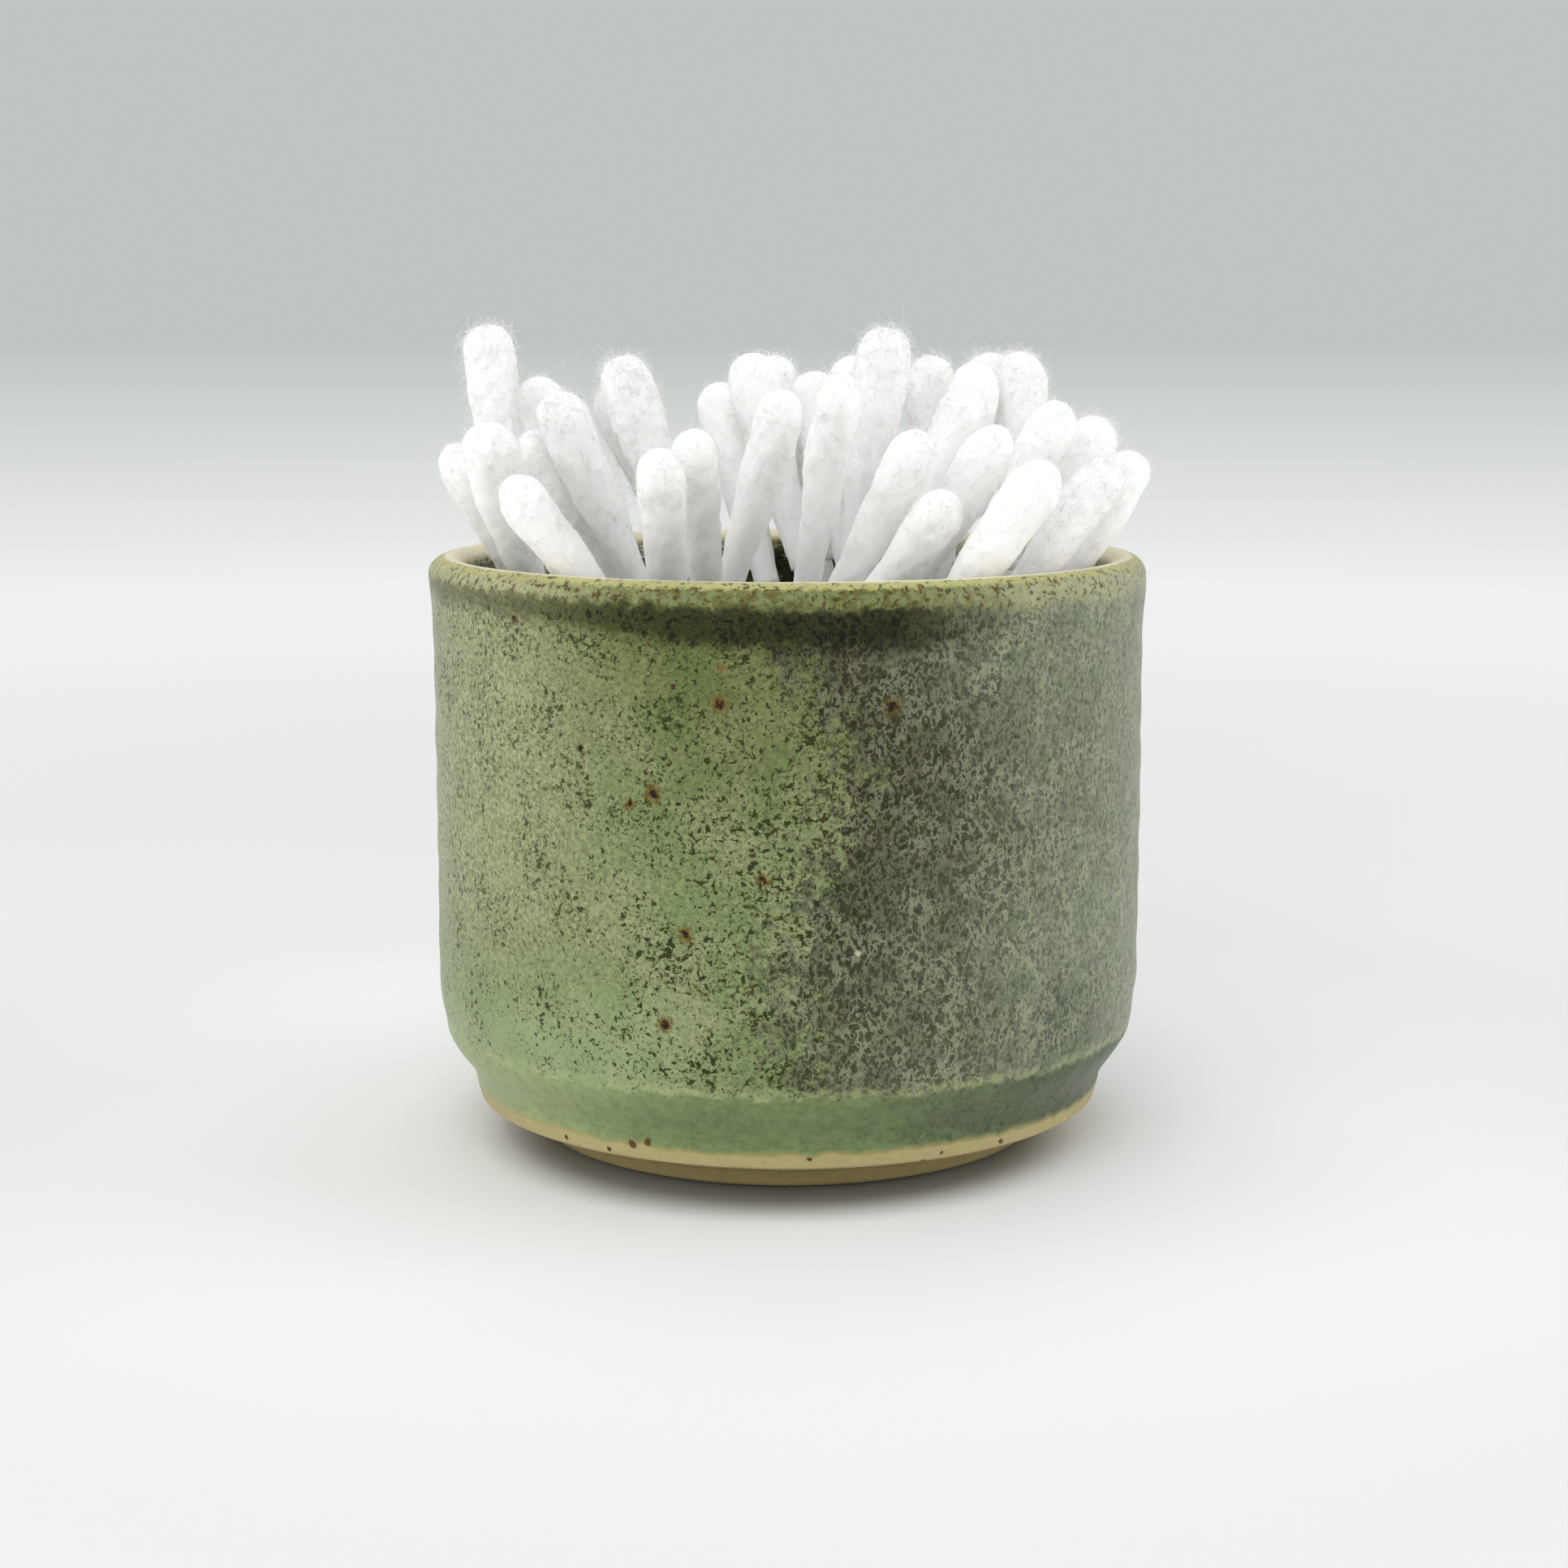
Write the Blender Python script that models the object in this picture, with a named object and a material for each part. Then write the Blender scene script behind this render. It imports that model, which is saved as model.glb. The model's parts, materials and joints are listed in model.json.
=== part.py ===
"""Cotton swab holder: a small footed stoneware pot and the bundle of cotton swabs that stands in it.

The origin is the centre of the foot ring, on the surface that the pot stands on, and +Z is up. The front is -Y.
Each swab is a paper stick with a wound cotton bud on both ends, and it is drawn out along its own length.
"""
import math

import bmesh
import bpy
import numpy as np
from mathutils import Vector

MM = 0.001

# Pot, outside
POT_HEIGHT = 57.6 * MM
POT_RADIUS = 35.0 * MM
WALL_START_HEIGHT = 16.5 * MM
RIDGE_HEIGHT = 11.5 * MM
RIDGE_INSET = 0.6 * MM
GLAZE_LINE_HEIGHT = 5.7 * MM
GLAZE_LINE_INSET = 3.5 * MM
BEVEL_EDGE_HEIGHT = 4.2 * MM
BEVEL_EDGE_INSET = 3.85 * MM
BEVEL_EDGE_ROUND = 0.5 * MM
FOOT_INSET = 9.6 * MM
FOOT_HEIGHT = 2.0 * MM
FOOT_TAPER = 0.4 * MM
FOOT_CHAMFER = 0.3 * MM
FOOT_RING_WIDTH = 3.8 * MM
RECESS_DEPTH = 1.5 * MM
RECESS_DRAFT = 0.6 * MM

# Pot, lip and inside
LIP_THICKNESS = 3.6 * MM
LIP_FLARE = 0.3 * MM
LIP_FLARE_LENGTH = 6.0 * MM
WALL_THICKNESS = 3.8 * MM
FLOOR_THICKNESS = 4.5 * MM
INNER_FILLET = 8.0 * MM

# Cotton swab
SWAB_LENGTH = 74.0 * MM
STICK_RADIUS = 1.1 * MM
BUD_RADIUS = 2.7 * MM
BUD_LENGTH = 23.0 * MM
BUD_NOSE_LENGTH = 3.2 * MM
BUD_FULL_LENGTH = 5.0 * MM
BUD_EDGE_THICKNESS = 0.2 * MM
STICK_END_COVER = 3.0 * MM

# Clearances
STICK_GAP = 0.3 * MM
FLOOR_GAP = 0.3 * MM
SWAB_GAP = 0.3 * MM

# Facets and merging
POT_SEGMENTS = 60
SWAB_SEGMENTS = 8
LIP_STEPS = 8
FILLET_STEPS = 5
BAND_STEPS = 5
RIDGE_STEPS = 3
NOSE_STEPS = 3
TAPER_STEPS = 4
WELD_DISTANCE = 0.001 * MM
SHARP_ANGLE = math.radians(40)

# Settling of the bundle: rounds at most, the part of each shortfall made up in a round, the part that may stay,
# and how many places along a swab and along its way out are tried
SETTLE_ROUNDS = 600
SETTLE_SHARE = 0.35
SETTLED_SHARE = 0.08
PLACES_ALONG_SWAB = 75
PLACES_ALONG_WAY_OUT = 120
FLATTEST_PUSH_SHARE = 0.25

# Sizes that follow from the ones above
FOOT_RADIUS = POT_RADIUS - FOOT_INSET
LIP_ROUND = LIP_THICKNESS / 2
LIP_CENTRE_RADIUS = POT_RADIUS + LIP_FLARE - LIP_ROUND
LIP_CENTRE_HEIGHT = POT_HEIGHT - LIP_ROUND
MOUTH_RADIUS = LIP_CENTRE_RADIUS - LIP_ROUND
INNER_RADIUS = POT_RADIUS - WALL_THICKNESS
FLOOR_LEVEL = RECESS_DEPTH + FLOOR_THICKNESS
FLAT_FLOOR_RADIUS = INNER_RADIUS - INNER_FILLET
BUD_EDGE_RADIUS = STICK_RADIUS + STICK_GAP + BUD_EDGE_THICKNESS
BUD_CENTRE_SPAN = SWAB_LENGTH - 2 * BUD_RADIUS
BUD_CENTRE_LEVEL = FLOOR_LEVEL + FLOOR_GAP + BUD_RADIUS
SWAB_TRAVEL = SWAB_LENGTH

# The bundle. A row is one swab: where its lower bud stands, across and along as shares of the flat floor's radius,
# where its upper bud leans, as shares of the mouth's radius, and its bud's girth as a share of the full one.
# Swabs in the front of the bundle, from left to right, whose buds and stick are separate pieces
FRONT_SWAB_SHARES = (
    (-0.08, 0.92, -1.01, -0.12, 0.80),
    (-0.69, 0.73, -0.88, -0.45, 0.96),
    (0.80, -0.38, -0.66, -0.68, 0.82),
    (-0.25, 0.45, -0.45, -0.86, 0.80),
    (0.00, 0.55, -0.28, -0.72, 0.78),
    (-0.62, 0.36, 0.07, -0.57, 0.82),
    (-0.25, 0.42, 0.22, -0.76, 0.82),
    (-0.78, -0.02, 0.40, -0.68, 0.80),
    (-0.85, -0.12, 0.46, -0.76, 0.80),
    (-0.58, -0.28, 0.64, -0.46, 0.84),
    (-0.90, -0.42, 0.73, -0.71, 0.90),
    (-0.40, -0.90, 1.02, -0.08, 0.86),
)
# Swabs behind them, from right to left round the back, each in one piece
BACK_SWAB_SHARES = (
    (-0.20, -0.54, 0.84, -0.16, 0.84),
    (-0.68, -0.72, 0.90, -0.34, 0.84),
    (0.25, -0.80, 0.94, 0.14, 0.90),
    (-0.10, -0.72, 0.57, 0.04, 0.90),
    (0.12, -0.45, 0.60, 0.30, 0.94),
    (0.52, -0.80, 0.87, 0.40, 0.90),
    (0.83, -0.32, 0.82, 0.36, 1.00),
    (0.92, -0.14, 0.66, 0.60, 1.00),
    (0.88, 0.06, 0.48, 0.77, 0.98),
    (0.78, 0.32, 0.22, 0.87, 0.98),
    (-0.05, 0.10, 0.31, 0.03, 1.00),
    (0.46, -0.48, 0.11, 0.47, 0.96),
    (0.66, -0.20, 0.01, 0.60, 0.98),
    (0.60, 0.12, -0.14, 0.48, 1.00),
    (0.72, 0.54, -0.10, 0.87, 1.00),
    (0.24, -0.20, -0.24, 0.80, 0.94),
    (0.50, 0.40, -0.48, 0.42, 0.96),
    (0.33, 0.32, -0.56, 0.15, 0.98),
    (0.10, 0.38, -0.63, -0.10, 0.94),
    (0.30, 0.75, -0.78, 0.10, 0.90),
    (0.08, 0.66, -0.81, 0.45, 0.94),
    (-0.98, 0.18, -0.90, 0.22, 0.98),
)


def clear_scene():
    """Remove what the scene holds at the start."""
    for item in list(bpy.data.objects):
        bpy.data.objects.remove(item, do_unlink=True)


def make_material(name, colour, roughness):
    """A non-metallic material with one colour."""
    material = bpy.data.materials.new(name)
    material.use_nodes = True
    shader = material.node_tree.nodes["Principled BSDF"]
    shader.inputs["Base Color"].default_value = (*colour, 1.0)
    shader.inputs["Roughness"].default_value = roughness
    shader.inputs["Metallic"].default_value = 0.0
    return material


def turned_mesh(name, outline, segments, material):
    """Turn an outline of (radius, height) points, closed by the Z axis, into a solid of revolution."""
    shape = bmesh.new()
    points = [shape.verts.new((radius, 0, height)) for radius, height in outline]
    edges = [shape.edges.new(pair) for pair in zip(points, points[1:])]
    bmesh.ops.spin(
        shape,
        geom=points + edges,
        cent=(0, 0, 0),
        axis=(0, 0, 1),
        dvec=(0, 0, 0),
        angle=math.tau,
        steps=segments,
        use_merge=True,
    )
    bmesh.ops.remove_doubles(shape, verts=shape.verts, dist=WELD_DISTANCE)
    bmesh.ops.recalc_face_normals(shape, faces=shape.faces)
    mesh = bpy.data.meshes.new(name)
    shape.to_mesh(mesh)
    shape.free()
    mesh.materials.append(material)
    mesh.shade_smooth()
    mesh.set_sharp_from_angle(angle=SHARP_ANGLE)
    return mesh


def place(name, mesh, parent=None):
    """Put a mesh into the scene as a named object."""
    item = bpy.data.objects.new(name, mesh)
    bpy.context.collection.objects.link(item)
    item.parent = parent
    return item


def arc(centre_radius, centre_height, size, start, end, steps):
    """Points of an arc from one angle to another, measured from outwards towards up, with both ends."""
    angles = [start + (end - start) * step / steps for step in range(steps + 1)]
    return [(centre_radius + size * math.cos(angle), centre_height + size * math.sin(angle)) for angle in angles]


def eased(low, high, steps):
    """Points of an S-shaped run from one (radius, height) point up to another, upright at both ends."""
    points = []
    for step in range(1, steps):
        share = step / steps
        ease = share * share * (3 - 2 * share)
        points.append((low[0] + (high[0] - low[0]) * ease, low[1] + (high[1] - low[1]) * share))
    return points


def foot_outline():
    """The pot's underside: a shallow recess, the foot ring, and the undercut out to the bevel's edge."""
    ring_inner_radius = FOOT_RADIUS - FOOT_TAPER - FOOT_RING_WIDTH
    contact_radius = FOOT_RADIUS - FOOT_TAPER
    edge_radius = POT_RADIUS - BEVEL_EDGE_INSET
    return [
        (0, RECESS_DEPTH),
        (ring_inner_radius - RECESS_DRAFT, RECESS_DEPTH),
        (ring_inner_radius, 0),
        (contact_radius - FOOT_CHAMFER, 0),
        (contact_radius, FOOT_CHAMFER),
        (FOOT_RADIUS, FOOT_HEIGHT),
        (edge_radius - BEVEL_EDGE_ROUND, BEVEL_EDGE_HEIGHT - BEVEL_EDGE_ROUND),
        (edge_radius, BEVEL_EDGE_HEIGHT),
    ]


def side_outline():
    """The pot's side: bare clay bevel, the band under the ridge, the rounded ridge and the upright wall."""
    glaze_line = (POT_RADIUS - GLAZE_LINE_INSET, GLAZE_LINE_HEIGHT)
    ridge = (POT_RADIUS - RIDGE_INSET, RIDGE_HEIGHT)
    wall_start = (POT_RADIUS, WALL_START_HEIGHT)
    flare_start = (POT_RADIUS, LIP_CENTRE_HEIGHT - LIP_FLARE_LENGTH)
    rounding = []
    for step in range(RIDGE_STEPS):
        share = step / RIDGE_STEPS
        out = RIDGE_INSET * math.sin(math.pi / 2 * share)
        rounding.append((ridge[0] + out, ridge[1] + (wall_start[1] - ridge[1]) * share))
    return [glaze_line, *eased(glaze_line, ridge, BAND_STEPS), *rounding, wall_start, flare_start]


def inside_outline():
    """The pot's lip, wall and floor inside, from the lip's outer side down to the middle of the floor."""
    lip = arc(LIP_CENTRE_RADIUS, LIP_CENTRE_HEIGHT, LIP_ROUND, 0, math.pi, LIP_STEPS)
    wall_top = (INNER_RADIUS, LIP_CENTRE_HEIGHT - LIP_FLARE_LENGTH)
    fillet = arc(FLAT_FLOOR_RADIUS, FLOOR_LEVEL + INNER_FILLET, INNER_FILLET, 0, -math.pi / 2, FILLET_STEPS)
    return [*lip, wall_top, *fillet, (0, FLOOR_LEVEL)]


def build_pot(glaze):
    """The fired pot, one turned piece."""
    outline = foot_outline() + side_outline() + inside_outline()
    return place("pot", turned_mesh("pot", outline, POT_SEGMENTS, glaze))


def swab_radius(distance, bud_radius):
    """A swab's radius at each distance from its nearer end: rounded nose, full bud, long taper, bare stick."""
    distance = np.asarray(distance, float)
    from_shoulder = 1 - np.clip(distance / BUD_NOSE_LENGTH, 0, 1)
    nose = bud_radius * np.sqrt(1 - from_shoulder**2)
    along_taper = np.clip((distance - BUD_FULL_LENGTH) / (BUD_LENGTH - BUD_FULL_LENGTH), 0, 1)
    taper = BUD_EDGE_RADIUS + (bud_radius - BUD_EDGE_RADIUS) * (0.5 + 0.5 * np.cos(math.pi * along_taper))
    bud = np.where(distance < BUD_NOSE_LENGTH, nose, taper)
    return np.where(distance <= BUD_LENGTH, bud, STICK_RADIUS)


def bud_outline(bud_radius):
    """A bud's outside from its tip to its edge on the stick."""
    nose = [BUD_NOSE_LENGTH * (1 - math.cos(math.pi / 2 * step / NOSE_STEPS)) for step in range(NOSE_STEPS)]
    taper_step = (BUD_LENGTH - BUD_FULL_LENGTH) / TAPER_STEPS
    taper = [BUD_FULL_LENGTH + taper_step * step for step in range(TAPER_STEPS + 1)]
    distances = nose + [BUD_NOSE_LENGTH] + taper
    return list(zip(swab_radius(distances, bud_radius).tolist(), distances))


def stick_mesh(paper):
    """The paper stick, which ends a little inside each bud."""
    low = STICK_END_COVER
    high = SWAB_LENGTH - STICK_END_COVER
    outline = [(0, low), (STICK_RADIUS, low), (STICK_RADIUS, high), (0, high)]
    return turned_mesh("stick", outline, SWAB_SEGMENTS, paper)


def bud_mesh(bud_radius, cotton):
    """A wound bud with the blind bore that the stick sits in."""
    bore_radius = STICK_RADIUS + STICK_GAP
    bore_end = STICK_END_COVER - STICK_GAP
    bore = [(bore_radius, BUD_LENGTH), (bore_radius, bore_end), (0, bore_end)]
    return turned_mesh("bud", bud_outline(bud_radius) + bore, SWAB_SEGMENTS, cotton)


def whole_swab_mesh(bud_radius, cotton):
    """A swab in one piece: both buds' outsides with the stick between them."""
    lower = bud_outline(bud_radius) + [(STICK_RADIUS, BUD_LENGTH)]
    upper = [(radius, SWAB_LENGTH - distance) for radius, distance in reversed(lower)]
    return turned_mesh("swab", lower + upper, SWAB_SEGMENTS, cotton)


def swab_lines(feet, tips):
    """Each swab's lower bud centre and direction, from the places of its two bud centres seen from above."""
    run = tips - feet
    rise = np.sqrt(np.maximum(BUD_CENTRE_SPAN**2 - np.sum(run**2, axis=1), 0))
    starts = np.column_stack([feet, np.full(len(feet), BUD_CENTRE_LEVEL)])
    return starts, np.column_stack([run, rise]) / BUD_CENTRE_SPAN


def swab_pushes(feet, tips, lift):
    """Moves that part the swabs which come nearer than the gap, and the largest shortfall.

    With no lift, a bud drawn along each swab's line has to clear every other swab where it stands. With lift, all
    the swabs are drawn out together. A push at a share of a swab's length moves its two bud centres in proportion.
    """
    distances = np.linspace(0, SWAB_LENGTH, PLACES_ALONG_SWAB)
    radii = swab_radius(np.minimum(distances, SWAB_LENGTH - distances), BUD_RADIUS)
    starts, ways = swab_lines(feet, tips)
    along_other = distances - BUD_RADIUS + lift
    places = starts[:, None] + along_other[None, :, None] * ways[:, None]
    offsets = places[None] - starts[:, None, None]
    along_own = np.einsum("ijsc,ic->ijs", offsets, ways)
    along_own = np.clip(along_own, lift, BUD_CENTRE_SPAN + SWAB_TRAVEL)
    across = offsets - along_own[..., None] * ways[:, None, None]
    lengths = np.linalg.norm(across, axis=-1)
    own_radii = BUD_RADIUS
    if lift:
        own_radii = np.interp(along_own - lift + BUD_RADIUS, distances, radii)
    gaps = lengths - own_radii - radii
    gaps[np.eye(len(feet), dtype=bool)] = math.inf
    nearest = gaps.argmin(axis=-1)
    own, other = np.nonzero(gaps.min(axis=-1) < SWAB_GAP)
    place_index = nearest[own, other]
    short = SWAB_GAP - gaps[own, other, place_index]
    normal = across[own, other, place_index, :2] / lengths[own, other, place_index, None]
    flatness = np.maximum(np.sum(normal**2, axis=1), FLATTEST_PUSH_SHARE)
    push = (SETTLE_SHARE / 2) * (short / flatness)[:, None] * normal
    feet_moves = np.zeros_like(feet)
    tips_moves = np.zeros_like(tips)
    for who, along, side in (
        (own, along_own[own, other, place_index], -1),
        (other, along_other[place_index], 1),
    ):
        share = along / BUD_CENTRE_SPAN
        weight = (1 - share) ** 2 + share**2
        np.add.at(feet_moves, who, side * push * ((1 - share) / weight)[:, None])
        np.add.at(tips_moves, who, side * push * (share / weight)[:, None])
    return feet_moves, tips_moves, short.max(initial=0)


def lip_pushes(feet, tips):
    """Moves that take the upper bud centres inwards where a swab on its way out comes too near the lip.

    A swab whose line leaves the pot below its lip, through the wall, counts as that far on the wrong side of it.
    """
    starts, ways = swab_lines(feet, tips)
    along = np.linspace(0, BUD_CENTRE_SPAN + SWAB_TRAVEL, PLACES_ALONG_WAY_OUT)
    places = starts[:, None] + along[None, :, None] * ways[:, None]
    radii = np.hypot(places[..., 0], places[..., 1])
    distances = np.hypot(radii - LIP_CENTRE_RADIUS, places[..., 2] - LIP_CENTRE_HEIGHT)
    nearest = distances.argmin(axis=1)
    every = np.arange(len(feet))
    past_lip = (places[..., 2] > LIP_CENTRE_HEIGHT).argmax(axis=1)
    side = np.where(radii[every, past_lip] < LIP_CENTRE_RADIUS + LIP_ROUND, 1, -1)
    short = np.maximum(SWAB_GAP - (side * distances[every, nearest] - LIP_ROUND - BUD_RADIUS), 0)
    outwards = places[every, nearest, :2] / radii[every, nearest, None]
    share = along[nearest] / BUD_CENTRE_SPAN
    weight = (1 - share) ** 2 + share**2
    return -outwards * (2 * SETTLE_SHARE * short * share / weight)[:, None], short.max(initial=0)


def settled(rows):
    """The lower bud centres and directions of the swabs, once they have settled clear of each other."""
    shares = np.array(rows, float)
    feet = shares[:, 0:2] * FLAT_FLOOR_RADIUS
    tips = shares[:, 2:4] * MOUTH_RADIUS
    for _ in range(SETTLE_ROUNDS):
        standing_feet, standing_tips, standing_short = swab_pushes(feet, tips, 0)
        lifted_feet, lifted_tips, lifted_short = swab_pushes(feet, tips, SWAB_TRAVEL)
        feet = feet + standing_feet + lifted_feet
        tips = tips + standing_tips + lifted_tips
        inward, lip_short = lip_pushes(feet, tips)
        tips = tips + inward
        reach = np.hypot(feet[:, 0], feet[:, 1])
        feet = feet * np.minimum(1, FLAT_FLOOR_RADIUS / np.maximum(reach, FLAT_FLOOR_RADIUS))[:, None]
        if max(standing_short, lifted_short, lip_short) < SETTLED_SHARE * SWAB_GAP:
            break
    return swab_lines(feet, tips)


def stand_swab(item, bud_centre, way):
    """Put an object whose Z axis is a swab's length, tip at its origin, on the swab's line."""
    item.location = Vector(bud_centre) - BUD_RADIUS * Vector(way)
    item.rotation_mode = "QUATERNION"
    item.rotation_quaternion = Vector(way).to_track_quat("Z", "Y")


def build_separate_swab(name, girth, bud_centre, way, paper, cotton):
    """A swab as three pieces on one empty: the stick and the two buds wound on it."""
    carrier = place(name, None)
    stand_swab(carrier, bud_centre, way)
    place(name + "_stick", stick_mesh(paper), carrier)
    bud = bud_mesh(BUD_RADIUS * girth, cotton)
    place(name + "_lower_bud", bud, carrier)
    upper = place(name + "_upper_bud", bud, carrier)
    upper.location = (0, 0, SWAB_LENGTH)
    upper.rotation_euler = (math.pi, 0, 0)


def build_whole_swab(name, girth, bud_centre, way, cotton):
    """A swab as one piece."""
    stand_swab(place(name, whole_swab_mesh(BUD_RADIUS * girth, cotton)), bud_centre, way)


def build_bundle(paper, cotton):
    """All the swabs, numbered from the front row on."""
    rows = FRONT_SWAB_SHARES + BACK_SWAB_SHARES
    bud_centres, ways = settled(rows)
    for index, row in enumerate(rows):
        name = f"swab_{index + 1:02d}"
        girth = row[4]
        if index < len(FRONT_SWAB_SHARES):
            build_separate_swab(name, girth, bud_centres[index], ways[index], paper, cotton)
        else:
            build_whole_swab(name, girth, bud_centres[index], ways[index], cotton)


def main():
    """Build the pot and the swabs."""
    clear_scene()
    glaze = make_material("speckled_green_glaze", (0.28, 0.36, 0.22), 0.38)
    paper = make_material("white_paper", (0.86, 0.85, 0.82), 0.75)
    cotton = make_material("white_cotton", (0.92, 0.92, 0.90), 0.95)
    build_pot(glaze)
    build_bundle(paper, cotton)


main()
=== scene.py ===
"""The looks of a cotton swab holder: a speckled stoneware pot on a bare foot and the swabs that lean in it.

Lengths are in metres in the row's frame: +Z is up, and the front of the pot faces -Y. Every swab's place,
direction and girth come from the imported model, and the pot's outline repeats the sizes that it was turned to.
"""
import json
import logging
import math
from dataclasses import dataclass, field
from enum import Enum
from functools import reduce
from typing import Union

import bpy
import numpy as np
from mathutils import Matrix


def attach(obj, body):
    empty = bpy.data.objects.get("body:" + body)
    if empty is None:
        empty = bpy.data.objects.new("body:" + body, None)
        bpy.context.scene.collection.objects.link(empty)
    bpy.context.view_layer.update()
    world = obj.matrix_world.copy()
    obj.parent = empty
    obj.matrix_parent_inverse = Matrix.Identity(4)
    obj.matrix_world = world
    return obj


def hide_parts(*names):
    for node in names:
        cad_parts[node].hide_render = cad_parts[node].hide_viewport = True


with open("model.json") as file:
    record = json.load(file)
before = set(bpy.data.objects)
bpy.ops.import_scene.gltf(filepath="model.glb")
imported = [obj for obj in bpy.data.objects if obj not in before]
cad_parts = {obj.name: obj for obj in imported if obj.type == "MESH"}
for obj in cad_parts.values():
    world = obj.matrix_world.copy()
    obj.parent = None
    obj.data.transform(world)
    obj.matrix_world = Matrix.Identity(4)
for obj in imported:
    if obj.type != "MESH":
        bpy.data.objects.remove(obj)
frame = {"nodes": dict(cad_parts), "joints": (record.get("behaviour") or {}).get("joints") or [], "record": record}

LOG = logging.getLogger("swab_holder")
MM = 0.001

Array = np.ndarray
Pair = tuple[float, float]
Place = tuple[float, float, float]
Colour = tuple[float, float, float]
Shades = tuple[Colour, Colour]
Value = Union["Signal", float]
Paint = Union["Signal", Colour]


def from_srgb(red: int, green: int, blue: int) -> Colour:
    """Turn a display colour into the linear values that shaders read.

    Args:
        red: Red as shown, 0 to 255.
        green: Green as shown, 0 to 255.
        blue: Blue as shown, 0 to 255.

    Returns:
        The three linear values.
    """
    shown = np.array([red, green, blue]) / 255
    linear = np.where(shown <= 0.04045, shown / 12.92, ((shown + 0.055) / 1.055) ** 2.4)
    return tuple(linear.tolist())


def unit(vectors: Array) -> Array:
    """Vectors of the same directions and a length of 1."""
    return vectors / np.linalg.norm(vectors, axis=-1, keepdims=True)


def full_turn(count: int) -> Array:
    """Evenly spaced angles of one turn, as a row."""
    return np.arange(count)[None] / count * math.tau


def around(radius: Array, turn: Array, height: Array | float) -> Array:
    """Points (r cos a, r sin a, z) at a radius r, an angle a round the Z axis and a height z."""
    return np.stack(np.broadcast_arrays(radius * np.cos(turn), radius * np.sin(turn), height), axis=-1)


def solid_noise(points: Array, wavelength: float, seed: int, waves: int = 28) -> Array:
    """Smooth noise through space, a sum of plane cosine waves in random directions.

    Each wave is cos(k . p + phase), with k of random direction and about two pi over the wavelength long. The
    sum is divided by the root of half the number of waves, so its usual size is 1.

    Args:
        points: Places, with x, y and z last.
        wavelength: The usual distance from crest to crest.
        seed: Picks the directions and phases.
        waves: How many waves are summed.

    Returns:
        One value for each place.
    """
    random = np.random.default_rng(seed)
    ways = unit(random.normal(size=(waves, 3)))
    pace = math.tau / wavelength * random.uniform(0.6, 1.5, waves)
    phases = random.uniform(0, math.tau, waves)
    return np.cos(points @ (ways * pace[:, None]).T + phases).sum(axis=-1) / math.sqrt(waves / 2)


def smooth_step(value: Array, low: float, high: float) -> Array:
    """An S-shaped rise from 0 at low to 1 at high: 3 t^2 - 2 t^3, with t held between 0 and 1."""
    t = np.clip((value - low) / (high - low), 0, 1)
    return t * t * (3 - 2 * t)


@dataclass
class MeshPart:
    """A surface as plain arrays, before it becomes a Blender mesh.

    Attributes:
        points: Places of the vertices, one row each.
        quads: Corner numbers of the four-sided faces.
        triangles: Corner numbers of the three-sided faces.
    """

    points: Array
    quads: Array = field(default_factory=lambda: np.zeros((0, 4), int))
    triangles: Array = field(default_factory=lambda: np.zeros((0, 3), int))

    @staticmethod
    def joined(parts: list["MeshPart"]) -> "MeshPart":
        """Put several surfaces into one, with their corner numbers shifted along.

        Args:
            parts: The surfaces.

        Returns:
            The one surface.
        """
        starts = np.cumsum([0] + [len(part.points) for part in parts[:-1]])
        return MeshPart(
            np.concatenate([part.points for part in parts]),
            np.concatenate([part.quads + start for part, start in zip(parts, starts)]),
            np.concatenate([part.triangles + start for part, start in zip(parts, starts)]),
        )

    def to_object(
        self, name: str, material: bpy.types.Material, place: Array | None = None
    ) -> bpy.types.Object:
        """Make the Blender object, smooth shaded, at the origin.

        Args:
            name: The piece's name.
            material: Its finish.
            place: A point for each vertex in the piece's own frame, kept as the attribute own_place.

        Returns:
            The new object.
        """
        mesh = bpy.data.meshes.new(name)
        corners = np.concatenate([self.quads.ravel(), self.triangles.ravel()])
        sides = np.concatenate([np.full(len(self.quads), 4), np.full(len(self.triangles), 3)])
        mesh.vertices.add(len(self.points))
        mesh.vertices.foreach_set("co", self.points.astype(np.float32).ravel())
        mesh.loops.add(len(corners))
        mesh.loops.foreach_set("vertex_index", corners.astype(np.int32))
        mesh.polygons.add(len(sides))
        mesh.polygons.foreach_set("loop_start", (np.cumsum(sides) - sides).astype(np.int32))
        mesh.polygons.foreach_set("use_smooth", np.ones(len(sides), bool))
        if place is not None:
            attribute = mesh.attributes.new("own_place", "FLOAT_VECTOR", "POINT")
            attribute.data.foreach_set("vector", place.astype(np.float32).ravel())
        mesh.update(calc_edges=True)
        mesh.validate()
        mesh.materials.append(material)
        piece = bpy.data.objects.new(name, mesh)
        bpy.context.scene.collection.objects.link(piece)
        return piece


def faces_between(index: Array) -> Array:
    """Four-sided faces between neighbouring rows of corner numbers, whose last column joins the first.

    Args:
        index: Corner numbers, with rows and columns last.

    Returns:
        Four corner numbers for each face.
    """
    beside = np.roll(index, -1, axis=-1)
    corners = [index[..., :-1, :], beside[..., :-1, :], beside[..., 1:, :], index[..., 1:, :]]
    return np.stack(corners, axis=-1).reshape(-1, 4)


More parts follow.
